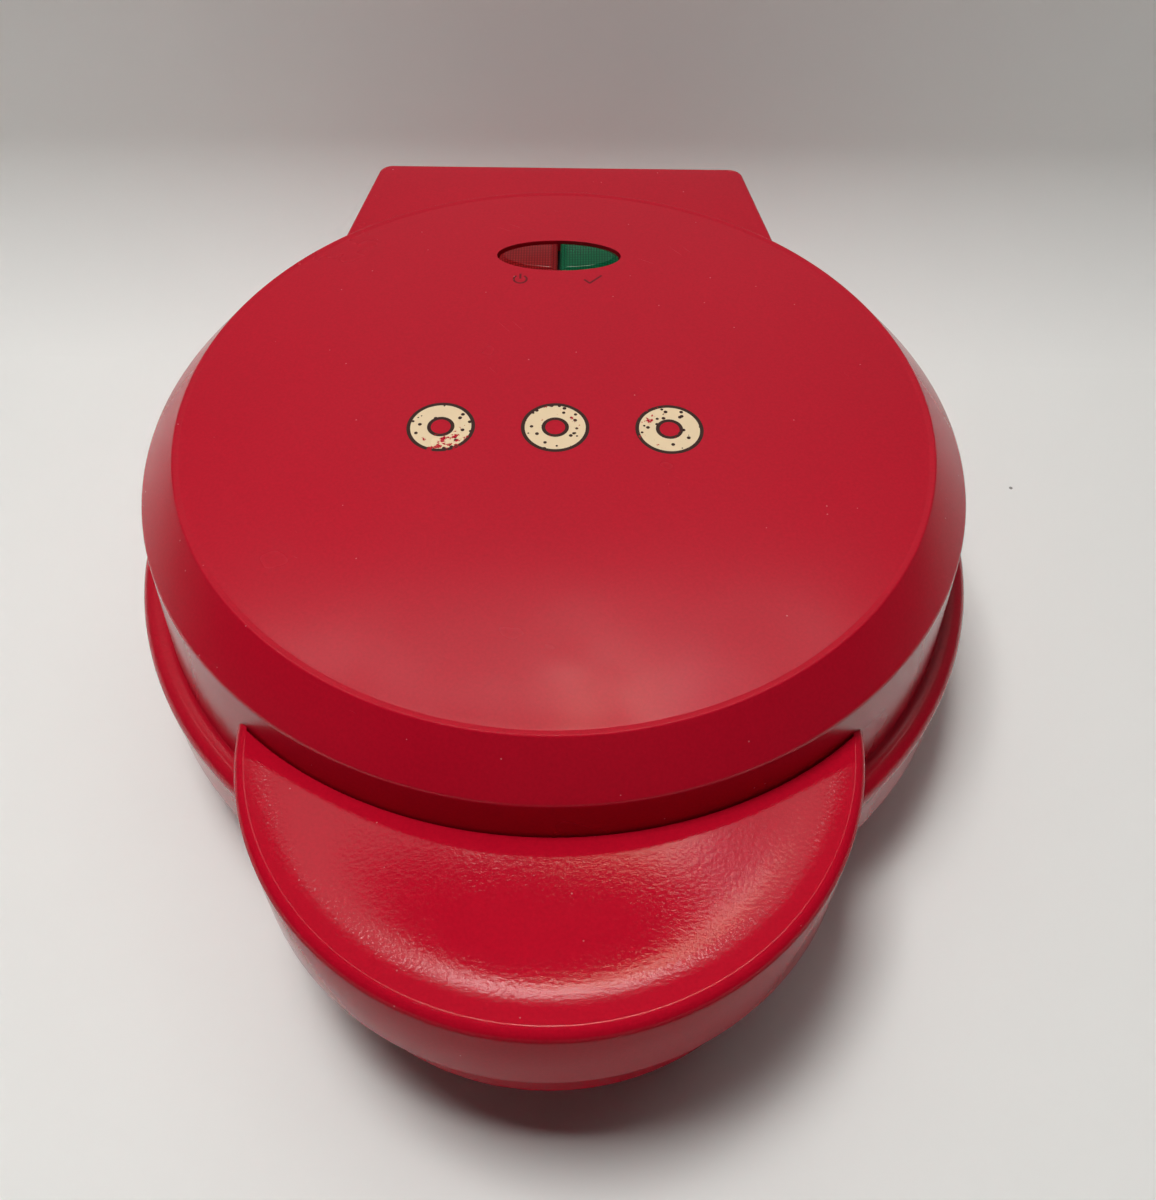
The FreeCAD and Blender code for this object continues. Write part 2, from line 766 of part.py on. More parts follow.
def make_element(label, height, sign):
    """Make the sheathed ring with a gap at the back and two upright ends."""
    body = new_body(label)
    section = new_sketch(body, "YZ")
    circle(section, "-ring_pitch", height, "element_radius")
    turn(body, section)
    slot(body, "-terminal_x", "ring_pitch - 10", "terminal_x", "ring_pitch + 10",
         "%s - 10" % height, "20")
    end_y = "sqrt(ring_pitch ^ 2 - terminal_x ^ 2)"
    low = height if sign > 0 else "%s - terminal_length" % height
    leg = disc(body, "terminal_x", end_y, low, "element_radius", "terminal_length")
    tab_z = "%s + terminal_length" % height if sign > 0 else "%s - terminal_length - 5" % height
    tab = disc(body, "terminal_x", end_y, tab_z, "1.6", "5")
    mirror_x(body, [leg, tab])
    return body


def make_reflector(label, pan, ledge, sign):
    """Make the sheet pan behind a plate, with a flange that sits on the frame's ledge."""
    body = new_body(label)
    outer = "(%s + %d * sheet)" % (pan, sign)
    lip = "(%s + %d * sheet)" % (ledge, sign)
    revolve(body, [
        ("0", pan), ("pan_radius - sheet", pan), ("pan_radius - sheet", ledge),
        ("pan_flange", ledge), ("pan_flange", lip), ("pan_radius", lip),
        ("pan_radius", outer), ("0", outer),
    ])
    low = "%s - 2" % pan
    screw = drill(body, "plate_post_pitch * cos(30)", "plate_post_pitch * sin(30)", low,
                  "shank", "4")
    repeat_around(body, [screw], "3")
    end_y = "sqrt(ring_pitch ^ 2 - terminal_x ^ 2)"
    leg = drill(body, "terminal_x", end_y, low, "element_radius + 1", "4")
    holes = [leg]
    if sign > 0:
        holes.append(drill(body, "thermostat_screw_x", "0", low, "shank", "4"))
    mirror_x(body, holes)
    cut_rear_flat(body)
    return body


# ---------------------------------------------------------------- fasteners

def make_screws(label, plane, x, y, seat, sign, length, copies):
    """Make a group of equal cross-head screws.

    seat is where the head meets the clamped face; sign is 1 when the shank runs along the
    plane's normal. copies is "mirror" or the number of screws around the axis.
    """
    body = new_body(label)
    if sign > 0:
        shank = disc(body, x, y, seat, "shank", length, plane)
        head = disc(body, x, y, "%s - head_height" % seat, "head", "head_height", plane)
        recess_z = "%s - head_height" % seat
    else:
        shank = disc(body, x, y, "%s - %s" % (seat, length), "shank", length, plane)
        head = disc(body, x, y, seat, "head", "head_height", plane)
        recess_z = "%s + head_height - 0.9" % seat
    cross = new_sketch(body, plane, recess_z)
    arm = 1.6
    web = 0.35
    steps = [
        (-arm, -web), (-web, -web), (-web, -arm), (web, -arm), (web, -web), (arm, -web),
        (arm, web), (web, web), (web, arm), (-web, arm), (-web, web), (-arm, web),
    ]
    outline(cross, [("%s + %g" % (x, dx), "%s + %g" % (y, dy)) for dx, dy in steps])
    recess = pocket(body, cross, "0.9")
    if copies == "mirror":
        mirror_x(body, [shank, head, recess])
    else:
        repeat_around(body, [shank, head, recess], copies)
    return body


def make_hinge_pin(label, side):
    body = new_body(label)
    start = "pin_inner_x" if side > 0 else "-(pin_outer_x - 0.2)"
    disc(body, "hinge_y", "hinge_z", start, "pin_radius", "pin_outer_x - pin_inner_x - 0.2", "YZ")
    return body


# ---------------------------------------------------------------- electrical parts

def make_thermostat():
    body = new_body("thermostat")
    top = UPPER_PAN + " + sheet"
    disc(body, "0", "0", top + " + 0.8", "13.5", "7")
    round_edges(body, "1", level_at(number(top + " + 7.8")))
    block(body, "-21", "-5", "21", "5", top, "0.8")
    hole = drill(body, "thermostat_screw_x", "0", top + " - 1", "shank", "3")
    tab = block(body, "terminal_x - 0.4", "2", "terminal_x + 0.4", "8", top + " + 6", "7")
    mirror_x(body, [hole, tab])
    return body


def make_thermal_fuse():
    body = new_body("thermal_fuse")
    disc(body, "-30", LOWER_PAN + " - sheet - 2.6", "-8", "2", "16", "YZ")
    return body


def make_fuse_clamp():
    body = new_body("fuse_clamp")
    under = LOWER_PAN + " - sheet"
    block(body, "-36", under + " - 5.5", "-24", under, "-4", "8", "YZ")
    drill(body, "-30", under + " - 2.6", "-5", "2", "10", "YZ")
    return body


def make_terminal_block():
    body = new_body("terminal_block")
    block(body, "-21", "102", "21", "112", FLOOR, "12")
    for place in (-1, 0, 1):
        x = "%d * terminal_x" % place
        drill(body, x, "108", FLOOR + " + 5", "2.6", "8")
        drill(body, x, FLOOR + " + 4", "-103.5", "lead_radius", "2", "XZ")
        drill(body, x, "108", FLOOR + " + 3", "shank", "6")
    return body


def make_terminal_screws():
    body = new_body("terminal_screws")
    for place in (-1, 0, 1):
        x = "%d * terminal_x" % place
        disc(body, x, "108", FLOOR + " + 3", "shank", "2")
        disc(body, x, "108", FLOOR + " + 5", "2.4", "2.5")
        slot(body, x + " - 2.5", "108 - 0.35", x + " + 2.5", "108 + 0.35",
             FLOOR + " + 6.6", "1.2")
    return body


def make_leads(label, start_z, run_z, start_y, end_y, end_z, sign):
    """Make a pair of leads: along the height, back or forward, and on to the terminals."""
    body = new_body(label)
    bend = "%d * lead_bend" % sign
    along = 1 if number(end_y) > number(start_y) else -1
    turn_y = "(%s + %d * lead_bend)" % (start_y, along)
    path = new_sketch(body, "YZ", "terminal_x")
    corners = [
        (start_y, start_z), (start_y, "%s - (%s)" % (run_z, bend)), (turn_y, run_z),
        (end_y, run_z),
    ]
    spots = [FreeCAD.Vector(number(x), number(y), 0) for x, y in corners]
    path.addGeometry(Part.LineSegment(spots[0], spots[1]), False)
    left = (sign * along) > 0
    path.addGeometry(arc_between(spots[1], spots[2], number("lead_bend"), left), False)
    path.addGeometry(Part.LineSegment(spots[2], spots[3]), False)
    arc_start, arc_end = (2, 1) if left else (1, 2)
    path.addConstraint(Sketcher.Constraint("Coincident", 0, 2, 1, arc_start))
    path.addConstraint(Sketcher.Constraint("Coincident", 1, arc_end, 2, 1))
    bind(path, "Radius", 1, size="lead_bend")
    for line, end, corner in ((0, 1, 0), (0, 2, 1), (2, 1, 2), (2, 2, 3)):
        bind(path, "DistanceX", -1, 1, line, end, size=corners[corner][0])
        bind(path, "DistanceY", -1, 1, line, end, size=corners[corner][1])
    section = new_sketch(body, "XY", start_z)
    circle(section, "terminal_x", start_y, "lead_radius")
    pipe = body.newObject("PartDesign::AdditivePipe", label + "_pipe")
    pipe.Profile = section
    pipe.Spine = path
    finish_feature(body, pipe, "pipe")
    mirror_x(body, [pipe])
    return body


def make_lamp_holder():
    body = new_body("lamp_holder")
    block(body, "-holder_half", "window_y - 11", "holder_half", "window_y + 11", "holder_z",
          "holder_thickness")
    round_edges(body, "5", upright)
    lamp = drill(body, "lamp_x", "window_y", "holder_z - 1", "lamp_radius",
                 "holder_thickness + 2")
    hole = drill(body, "holder_screw_x", "window_y", "holder_z - 1", "shank",
                 "holder_thickness + 2")
    mirror_x(body, [lamp, hole])
    return body


def make_lamp(label, side):
    body = new_body(label)
    x = "%d * lamp_x" % side
    disc(body, x, "window_y", "holder_z - 7", "lamp_radius", "holder_thickness + 7 - 0.5")
    disc(body, "%s - 1.2" % x, "window_y", "holder_z - 12", "0.4", "5")
    disc(body, "%s + 1.2" % x, "window_y", "holder_z - 12", "0.4", "5")
    return body


def make_lens(label, side):
    """Make one half of the oval window."""
    body = new_body(label)
    plan = new_sketch(body, "XY", "holder_z + holder_thickness")
    ellipse(plan, "0", "window_y", "window_half_length", "window_half_width")
    pad(body, plan, "window_proud - holder_z - holder_thickness")
    x0, x1 = ("-30", "window_split") if side > 0 else ("-window_split", "30")
    slot(body, x0, "40", x1, "90", "holder_z", "20")
    return body


def make_cord_bush():
    body = new_body("cord_bush")
    disc(body, "bush_x", "bush_z", "-(block_back - 0.2)", "7.5", "1.8", "XZ")
    disc(body, "bush_x", "bush_z", "-(block_back - 2)", "5.4", "4", "XZ")
    disc(body, "bush_x", "bush_z", "-(block_back - 6)", "7", "2", "XZ")
    drill(body, "bush_x", "bush_z", "-block_back - 1", "cord_radius", "10", "XZ")
    return body


# ---------------------------------------------------------------- assembly

make_base_shell()
make_base_handle()
make_handle_cover("base_handle_cover", "base_handle_radius - wall", "base_handle_top - 2.2",
                  "2.2", BASE_OUTSIDE,
                  ("base_handle_bottom + wall", "base_handle_top - base_handle_bottom - wall - 1"))
make_screws("base_handle_screws", "XZ", "handle_screw_x", "base_handle_screw_z",
            "handle_seat_y + 6", 1, "10", "mirror")
make_frame("lower_plate_frame", "lower_frame_radius", "(base_top - frame_drop)", -1,
           "lower_post_pitch")
make_plate("lower_cooking_plate", LOWER_FACE, -1, LOWER_PAN)
make_element("lower_heating_element", LOWER_ELEMENT, -1)
make_reflector("lower_heat_reflector", LOWER_PAN, "(base_top - plate_thickness - ledge_depth)", -1)
make_screws("lower_plate_screws", "XY", "plate_post_pitch * cos(30)",
            "plate_post_pitch * sin(30)", LOWER_PAN + " - sheet", 1, "8", "3")
make_screws("lower_frame_screws", "XY", "lower_post_pitch", "0", "28", 1, "15", "6")
for foot in FOOT_PLACES:
    make_foot(foot)
make_thermal_fuse()
make_fuse_clamp()
make_terminal_block()
make_terminal_screws()
make_leads("base_leads", LOWER_ELEMENT + " - terminal_length - 5", FLOOR + " + 4",
           "sqrt(ring_pitch ^ 2 - terminal_x ^ 2)", "103.5", FLOOR + " + 4", -1)
make_cord_bush()
make_hinge_pin("hinge_pin_left", -1)
make_hinge_pin("hinge_pin_right", 1)

make_lid_shell()
make_lid_handle()
make_handle_cover("lid_handle_cover", "handle_radius - wall - 0.15", "handle_bottom", "2.4",
                  LID_OUTSIDE, None)
make_screws("lid_handle_screws", "XZ", "handle_screw_x", "handle_screw_z", "handle_seat_y",
            1, "14", "mirror")
make_screws("lid_handle_cover_screws", "XY", "handle_post_x", "handle_post_y",
            "handle_bottom + 0.9", 1, "9", "mirror")
make_frame("upper_plate_frame", "upper_frame_radius", "(lid_bottom + frame_drop)", 1,
           "upper_post_pitch")
make_plate("upper_cooking_plate", UPPER_FACE, 1, UPPER_PAN)
make_element("upper_heating_element", UPPER_ELEMENT, 1)
make_reflector("upper_heat_reflector", UPPER_PAN, "(lid_bottom + plate_thickness + ledge_depth)", 1)
make_screws("upper_plate_screws", "XY", "plate_post_pitch * cos(30)",
            "plate_post_pitch * sin(30)", UPPER_PAN + " + sheet", -1, "8", "3")
make_screws("upper_frame_screws", "XY", "upper_post_pitch", "0",
            "lid_bottom + frame_drop + head_height + 0.2", 1, "10", "6")
make_thermostat()
make_screws("thermostat_screws", "XY", "thermostat_screw_x", "0",
            UPPER_PAN + " + sheet + 0.8", -1, "5", "mirror")
make_leads("lid_leads", UPPER_ELEMENT + " + terminal_length + 5",
           UPPER_ELEMENT + " + terminal_length + 11", "sqrt(ring_pitch ^ 2 - terminal_x ^ 2)",
           "8", "0", 1)
make_lamp_holder()
make_screws("lamp_holder_screws", "XY", "holder_screw_x", "window_y", "holder_z", 1, "5",
            "mirror")
make_lamp("power_lamp", -1)
make_lamp("ready_lamp", 1)
make_lens("power_lens", -1)
make_lens("ready_lens", 1)

doc.recompute()
for item in doc.Objects:
    if "Invalid" in item.State or "Error" in item.State:
        raise RuntimeError("%s is %s" % (item.Label, item.State))
for body in bodies:
    if body.Shape.isNull() or not body.Shape.isValid():
        raise RuntimeError(body.Label + " has no valid shape")
    body.Shape.exportStep("parts/%s.step" % body.Label)
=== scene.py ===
"""Studio model of a round, red countertop donut maker with a hinged lid.

The engineering frame is loaded first and never changed. Each sub-assembly is a class that
either dresses the frame's own nodes or stands a finer mesh in their place.
"""
import logging
import math
from dataclasses import dataclass, field
from enum import Enum
from functools import reduce
from typing import Callable, Optional, Sequence, Union

import bmesh
import bpy
from mathutils import Matrix, Vector


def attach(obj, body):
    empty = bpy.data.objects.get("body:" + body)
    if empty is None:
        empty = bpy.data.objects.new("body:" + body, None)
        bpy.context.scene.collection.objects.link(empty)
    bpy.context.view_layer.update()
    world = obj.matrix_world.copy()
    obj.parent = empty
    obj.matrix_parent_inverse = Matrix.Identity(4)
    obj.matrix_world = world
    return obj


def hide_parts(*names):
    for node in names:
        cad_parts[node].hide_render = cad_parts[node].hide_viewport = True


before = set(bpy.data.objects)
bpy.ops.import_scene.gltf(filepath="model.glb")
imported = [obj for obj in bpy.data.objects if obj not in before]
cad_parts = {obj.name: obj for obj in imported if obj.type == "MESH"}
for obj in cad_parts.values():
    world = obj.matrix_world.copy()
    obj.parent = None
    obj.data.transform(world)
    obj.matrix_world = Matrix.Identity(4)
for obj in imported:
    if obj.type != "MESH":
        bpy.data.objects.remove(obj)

LOG = logging.getLogger("donut_maker")
MM = 0.001
IN_MM = (1000.0, 1000.0, 1000.0)
AXIS_Y = 19.0
Socket = bpy.types.NodeSocket
Value = Union[float, int, Socket]
Point = tuple[float, float]
Colour = tuple[float, float, float]


class Body(Enum):
    """The two bodies of the hinge."""

    BASE = "base"
    LID = "lid"


# ------------------------------------------------------------------ outline helpers


def rounded(corners: Sequence[tuple[float, float, float]], steps: int = 6,
            closed: bool = True) -> list[Point]:
    """Round the corners of a path.

    Args:
        corners: x, y and corner radius of each corner, in millimetres.
        steps: Pieces per rounded corner.
        closed: True if the last corner joins the first.

    Returns:
        The points of the rounded path.
    """
    path: list[Point] = []
    count = len(corners)
    for place, (x, y, radius) in enumerate(corners):
        here = Vector((x, y))
        if radius <= 0 or (not closed and place in (0, count - 1)):
            path.append((x, y))
            continue
        back = Vector(corners[place - 1][:2]) - here
        ahead = Vector(corners[(place + 1) % count][:2]) - here
        half = back.angle(ahead) / 2
        run = min(radius / math.tan(half), back.length * 0.49, ahead.length * 0.49)
        reach = run * math.tan(half)
        start = here + back.normalized() * run
        middle = here + (back.normalized() + ahead.normalized()).normalized() * math.hypot(run, reach)
        first = start - middle
        last = here + ahead.normalized() * run - middle
        turn = first.angle_signed(last)
        for step in range(steps + 1):
            angle = -turn * step / steps
            spun = Matrix.Rotation(angle, 2) @ first
            path.append((middle.x + spun.x, middle.y + spun.y))
    return path


def arc(x: float, y: float, radius: float, start: float, end: float, steps: int) -> list[Point]:
    """Sample an arc.

    Args:
        x: Centre x in millimetres.
        y: Centre y in millimetres.
        radius: Radius in millimetres.
        start: First angle in degrees.
        end: Last angle in degrees.
        steps: Number of pieces.

    Returns:
        The points from start to end.
    """
    angles = [math.radians(start + (end - start) * step / steps) for step in range(steps + 1)]
    return [(x + radius * math.cos(a), y + radius * math.sin(a)) for a in angles]


# ------------------------------------------------------------------ mesh helpers


def mesh_from(name: str, points: Sequence[Sequence[float]],
              faces: Sequence[Sequence[int]]) -> bpy.types.Object:
    """Make an object from points in millimetres.

    Args:
        name: The piece's name.
        points: Vertex places in millimetres, in the row frame.
        faces: Vertex numbers of each face.

    Returns:
        The new object, with its normals facing out.
    """
    data = bpy.data.meshes.new(name)
    data.from_pydata([Vector(p) * MM for p in points], [], faces)
    shape = bmesh.new()
    shape.from_mesh(data)
    bmesh.ops.remove_doubles(shape, verts=shape.verts, dist=1e-7)
    bmesh.ops.recalc_face_normals(shape, faces=shape.faces)
    shape.to_mesh(data)
    shape.free()
    obj = bpy.data.objects.new(name, data)
    bpy.context.scene.collection.objects.link(obj)
    return obj


def lathe(name: str, path: Sequence[Point], segments: int) -> bpy.types.Object:
    """Revolve a closed path of (radius, height) about the appliance's upright axis.

    Args:
        name: The piece's name.
        path: The closed outline in millimetres; points on the axis become one pole.
        segments: Number of pieces round the axis.

    Returns:
        The revolved object.
    """
    points: list[tuple[float, float, float]] = []
    rings: list[list[int]] = []
    for radius, height in path:
        if radius == 0.0:
            points.append((0.0, AXIS_Y, height))
            rings.append([len(points) - 1] * segments)
            continue
        start = len(points)
        for step in range(segments):
            angle = 2 * math.pi * step / segments
            points.append((radius * math.cos(angle), AXIS_Y + radius * math.sin(angle), height))
        rings.append(list(range(start, start + segments)))
    faces = []
    for place, ring in enumerate(rings):
        following = rings[(place + 1) % len(rings)]
        for step in range(segments):
            after = (step + 1) % segments
            corners = [ring[step], ring[after], following[after], following[step]]
            unique = list(dict.fromkeys(corners))
            if len(unique) > 2:
                faces.append(unique)
    return mesh_from(name, points, faces)


def extrude(name: str, outline: Sequence[Point], low: float, high: float,
            axis: str = "z") -> bpy.types.Object:
    """Extrude a closed outline along an axis.

    Args:
        name: The piece's name.
        outline: Points in millimetres, in (x, y) for axis z or (y, z) for axis x.
        low: Start along the axis in millimetres.
        high: End along the axis in millimetres.
        axis: "z" or "x".

    Returns:
        The extruded object.
    """
    def place(point: Point, along: float) -> tuple[float, float, float]:
        """Turn an outline point into a place in the row frame."""
        return (point[0], point[1], along) if axis == "z" else (along, point[0], point[1])

    count = len(outline)
    points = [place(p, low) for p in outline] + [place(p, high) for p in outline]
    faces: list[list[int]] = [list(range(count)), list(range(count, 2 * count))]
    for step in range(count):
        after = (step + 1) % count
        faces.append([step, after, count + after, count + step])
    return mesh_from(name, points, faces)


def bevel(obj: bpy.types.Object, width: float, wanted: Callable[[Vector, Vector], bool], steps: int) -> None:
    """Round the edges that pass a test.

    Args:
        obj: The object to change.
        width: Bevel width in millimetres.
        wanted: Test on an edge's two ends, in millimetres.
        steps: Pieces across the rounding.
    """
    shape = bmesh.new()
    shape.from_mesh(obj.data)
    edges = [e for e in shape.edges if wanted(e.verts[0].co / MM, e.verts[1].co / MM)]
    bmesh.ops.bevel(shape, geom=edges, offset=width * MM, segments=steps, profile=0.5, affect="EDGES")
    shape.to_mesh(obj.data)
    shape.free()


def carve(target: bpy.types.Object, tool: bpy.types.Object) -> None:
    """Cut a tool out of an object and drop the tool."""
    change = target.modifiers.new("carve", "BOOLEAN")
    change.operation = "DIFFERENCE"
    change.solver = "EXACT"
    change.object = tool
    result = bpy.data.meshes.new_from_object(target.evaluated_get(bpy.context.evaluated_depsgraph_get()))
    target.modifiers.clear()
    target.data = result
    bpy.data.objects.remove(tool)


def smooth(obj: bpy.types.Object, angle: float = 32.0) -> None:
    """Shade smooth and keep edges sharper than the angle crisp."""
    obj.data.polygons.foreach_set("use_smooth", [True] * len(obj.data.polygons))
    obj.data.set_sharp_from_angle(angle=math.radians(angle))


def dress(obj: bpy.types.Object, material: bpy.types.Material) -> None:
    """Give an object one material."""
    obj.data.materials.clear()
    obj.data.materials.append(material)


def settle(obj: bpy.types.Object, material: bpy.types.Material, body: Body,
           nodes: Sequence[str] = (), angle: float = 32.0) -> None:
    """Dress a piece, shade it and let it ride on a body.

    Args:
        obj: The piece.
        material: Its material.
        body: The body that it rides on.
        nodes: Frame nodes that it stands for.
        angle: Shading angle in degrees.
    """
    smooth(obj, angle)
    dress(obj, material)
    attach(obj, body.value)
    if nodes:
        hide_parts(*nodes)
    LOG.info("%s: %d faces on %s", obj.name, len(obj.data.polygons), body.value)


# ------------------------------------------------------------------ shader helpers


@dataclass
class Board:
    """A short way to place and link shader nodes.

    Attributes:
        tree: The node tree that is being filled.
    """

    tree: bpy.types.NodeTree

    def add(self, kind: str, inputs: Optional[dict[Union[str, int], object]] = None,
            **settings: object) -> bpy.types.Node:
        """Place a node.

        Args:
            kind: The node's type name.
            inputs: Sockets or values by input name or number.
            **settings: Properties of the node.

        Returns:
            The node.
        """
        node = self.tree.nodes.new(kind)
        for name, setting in settings.items():
            setattr(node, name, setting)
        for name, value in (inputs or {}).items():
            self.put(node.inputs[name], value)
        return node

    def put(self, socket: Socket, value: object) -> None:
        """Link a socket or set its value."""
        if isinstance(value, bpy.types.NodeSocket):
            self.tree.links.new(value, socket)
        elif isinstance(value, tuple) and len(value) == 3 and socket.type == "RGBA":
            socket.default_value = (*value, 1.0)
        else:
            socket.default_value = value

    def math(self, operation: str, a: Value, b: Value = 0.0, c: Value = 0.0) -> Socket:
        """Place a math node and return its result."""
        return self.add("ShaderNodeMath", {0: a, 1: b, 2: c}, operation=operation).outputs[0]

    def times(self, first: Value, *others: Value) -> Socket:
        """Return the product of the values."""
        return reduce(lambda a, b: self.math("MULTIPLY", a, b), others, first)

    def most(self, first: Value, *others: Value) -> Socket:
        """Return the largest of the values."""
        return reduce(lambda a, b: self.math("MAXIMUM", a, b), others, first)

    def under(self, value: Value, limit: Value) -> Socket:
        """Return 1 where the value is under the limit."""
        return self.math("LESS_THAN", value, limit)

    def over(self, value: Value, limit: Value) -> Socket:
        """Return 1 where the value is over the limit."""
        return self.math("GREATER_THAN", value, limit)

    def band(self, value: Value, low: float, high: float) -> Socket:
        """Return 1 where the value lies between two limits."""
        return self.times(self.under(value, high), self.over(value, low))

    def reach(self, x: Socket, y: Socket) -> Socket:
        """Return the distance of (x, y) from the origin."""
        return self.math("SQRT", self.math("ADD", self.times(x, x), self.times(y, y)))

    def bump(self, shader: bpy.types.Node, height: Socket, strength: float, depth: float) -> None:
        """Bump a shader's surface by a height, with its depth in metres."""
        node = self.add("ShaderNodeBump", {"Height": height, "Strength": strength, "Distance": depth})
        self.put(shader.inputs["Normal"], node.outputs[0])

    def map(self, value: Value, low: float, high: float, to_low: float = 0.0, to_high: float = 1.0) -> Socket:
        """Map a range to another with a smooth step and return the result."""
        node = self.add("ShaderNodeMapRange", {"Value": value, "From Min": low, "From Max": high,
                                               "To Min": to_low, "To Max": to_high},
                        interpolation_type="SMOOTHSTEP")
        return node.outputs["Result"]

    def noise(self, vector: Socket, scale: float, detail: float = 4.0, rough: float = 0.55) -> Socket:
        """Place a noise texture and return its value."""
        node = self.add("ShaderNodeTexNoise", {"Vector": vector, "Scale": scale, "Detail": detail,
                                               "Roughness": rough})
        return node.outputs["Fac"]

    def mix(self, factor: Value, a: object, b: object) -> Socket:
        """Mix two colours and return the result."""
        return self.add("ShaderNodeMix", {0: factor, 6: a, 7: b}, data_type="RGBA").outputs[2]

    def stretch(self, vector: Socket, scale: tuple[float, float, float]) -> Socket:
        """Scale a vector by parts and return it."""
        node = self.add("ShaderNodeVectorMath", {0: vector, 1: scale}, operation="MULTIPLY")
        return node.outputs[0]

    def split(self, vector: Socket) -> tuple[Socket, Socket, Socket]:
        """Split a vector into x, y and z."""
        node = self.add("ShaderNodeSeparateXYZ", {0: vector})
        return node.outputs[0], node.outputs[1], node.outputs[2]


class GroupKit:
    """Builds each shared shader group once and places it in materials."""

    made: dict[str, bpy.types.NodeTree] = {}

    @classmethod
    def start(cls, name: str, outputs: Sequence[str], kind: str = "NodeSocketFloat",
              **inputs: Union[float, Colour]) -> tuple[Board, dict[str, Socket], bpy.types.Node]:
        """Open a new group, whose first input is the vector that its textures use.

        Args:
            name: The group's name.
            outputs: The outputs' names.
            kind: The outputs' socket type.
            **inputs: Default value of each further input, a number or a colour.

        Returns:
            The board, the group's inputs by name, and its output node.
        """
        tree = bpy.data.node_groups.new(name, "ShaderNodeTree")
        tree.interface.new_socket(name="Vector", in_out="INPUT", socket_type="NodeSocketVector")
        for key, value in inputs.items():
            coloured = isinstance(value, tuple)
            socket = tree.interface.new_socket(
                name=key, in_out="INPUT", socket_type="NodeSocketColor" if coloured else "NodeSocketFloat")
            socket.default_value = (*value, 1.0) if coloured else value
        for key in outputs:
            tree.interface.new_socket(name=key, in_out="OUTPUT", socket_type=kind)
        board = Board(tree)
        inner = tree.nodes.new("NodeGroupInput")
        outer = tree.nodes.new("NodeGroupOutput")
        cls.made[name] = tree
        return board, {s.name: s for s in inner.outputs if s.name}, outer

    @classmethod
    def place(cls, board: Board, name: str, where: Socket, **inputs: object) -> bpy.types.Node:
        """Place a group in a material and return its node."""
        if name not in cls.made:
            getattr(cls, "make_" + name)()
        node = board.add("ShaderNodeGroup", node_tree=cls.made[name])
        board.put(node.inputs["Vector"], where)
        for key, value in inputs.items():
            board.put(node.inputs[key], value)
        return node

    @classmethod
    def only(cls, board: Board, name: str, where: Socket, **inputs: object) -> Socket:
        """Place a group that has one output and return that output."""
        return cls.place(board, name, where, **inputs).outputs[0]

    @classmethod
    def make_orange_peel(cls) -> None:
        """Build the slight waviness of sprayed and baked paint."""
        board, inputs, outer = cls.start("orange_peel", ["Height"], Fine=0.35)
        coarse = board.noise(inputs["Vector"], 1150.0, 1.0, 0.4)
        fine = board.noise(inputs["Vector"], 2700.0, 1.0, 0.5)
        board.put(outer.inputs["Height"], board.math("MULTIPLY_ADD", fine, inputs["Fine"], coarse))

    @classmethod
    def make_dust(cls) -> None:
        """Build pale specks and lint that lie on a surface."""
        board, inputs, outer = cls.start("dust", ["Mask"], Amount=0.5, Scale=260.0)
        speck_radius, share_of_cells = 0.075, 0.22
        cells = board.add("ShaderNodeTexVoronoi", {"Vector": inputs["Vector"], "Scale": inputs["Scale"]})
        near = board.under(cells.outputs["Distance"], speck_radius)
        red, _, _ = board.split(cells.outputs["Color"])
        chosen = board.under(red, board.times(inputs["Amount"], share_of_cells))
        board.put(outer.inputs["Mask"], board.times(near, chosen))

    @classmethod
    def make_scratches(cls) -> None:
        """Build a few fine hairline scratches from noise stretched in two close directions."""
        board, inputs, outer = cls.start("scratches", ["Mask"], Amount=0.5)
        lines = []
        for turn, scale in ((0.5, (90.0, 4200.0, 90.0)), (0.9, (70.0, 4600.0, 70.0))):
            spun = board.add("ShaderNodeVectorRotate", {"Vector": inputs["Vector"], "Angle": turn},
                             rotation_type="Z_AXIS")
            streaks = board.noise(board.stretch(spun.outputs[0], scale), 1.0, 2.0, 0.4)
            lines.append(board.map(streaks, 0.74, 0.80))
        patches = board.map(board.noise(inputs["Vector"], 30.0, 2.0), 0.5, 0.65)
        board.put(outer.inputs["Mask"], board.times(board.most(*lines), patches, inputs["Amount"]))

    @classmethod
    def make_mottle(cls) -> None:
        """Build the slow colour change of a moulded or coated surface."""
        board, inputs, outer = cls.start("mottle", ["Colour"], "NodeSocketColor",
                                         Colour=(0.5, 0.5, 0.5), Scale=20.0, Depth=0.15)
        cloud = board.add("ShaderNodeTexNoise", {"Vector": inputs["Vector"], "Scale": inputs["Scale"],
                                                 "Detail": 5.0})
        shift = board.math("SUBTRACT", cloud.outputs["Fac"], 0.5)
        gain = board.math("MULTIPLY_ADD", shift, inputs["Depth"], 1.0)
        scaled = board.add("ShaderNodeVectorMath", {0: inputs["Colour"], "Scale": gain}, operation="SCALE")
        board.put(outer.inputs["Colour"], scaled.outputs[0])

    @classmethod
    def make_grain(cls) -> None:
        """Build the fine pitted grain of spark-eroded plastic or sandy coating."""
        board, inputs, outer = cls.start("grain", ["Height"], Scale=1800.0)
        cells = board.add("ShaderNodeTexVoronoi", {"Vector": inputs["Vector"], "Scale": inputs["Scale"]},
                          feature="SMOOTH_F1")
        fine = board.noise(inputs["Vector"], 900.0, 3.0)
        board.put(outer.inputs["Height"], board.math("MULTIPLY_ADD", fine, 0.6, cells.outputs["Distance"]))

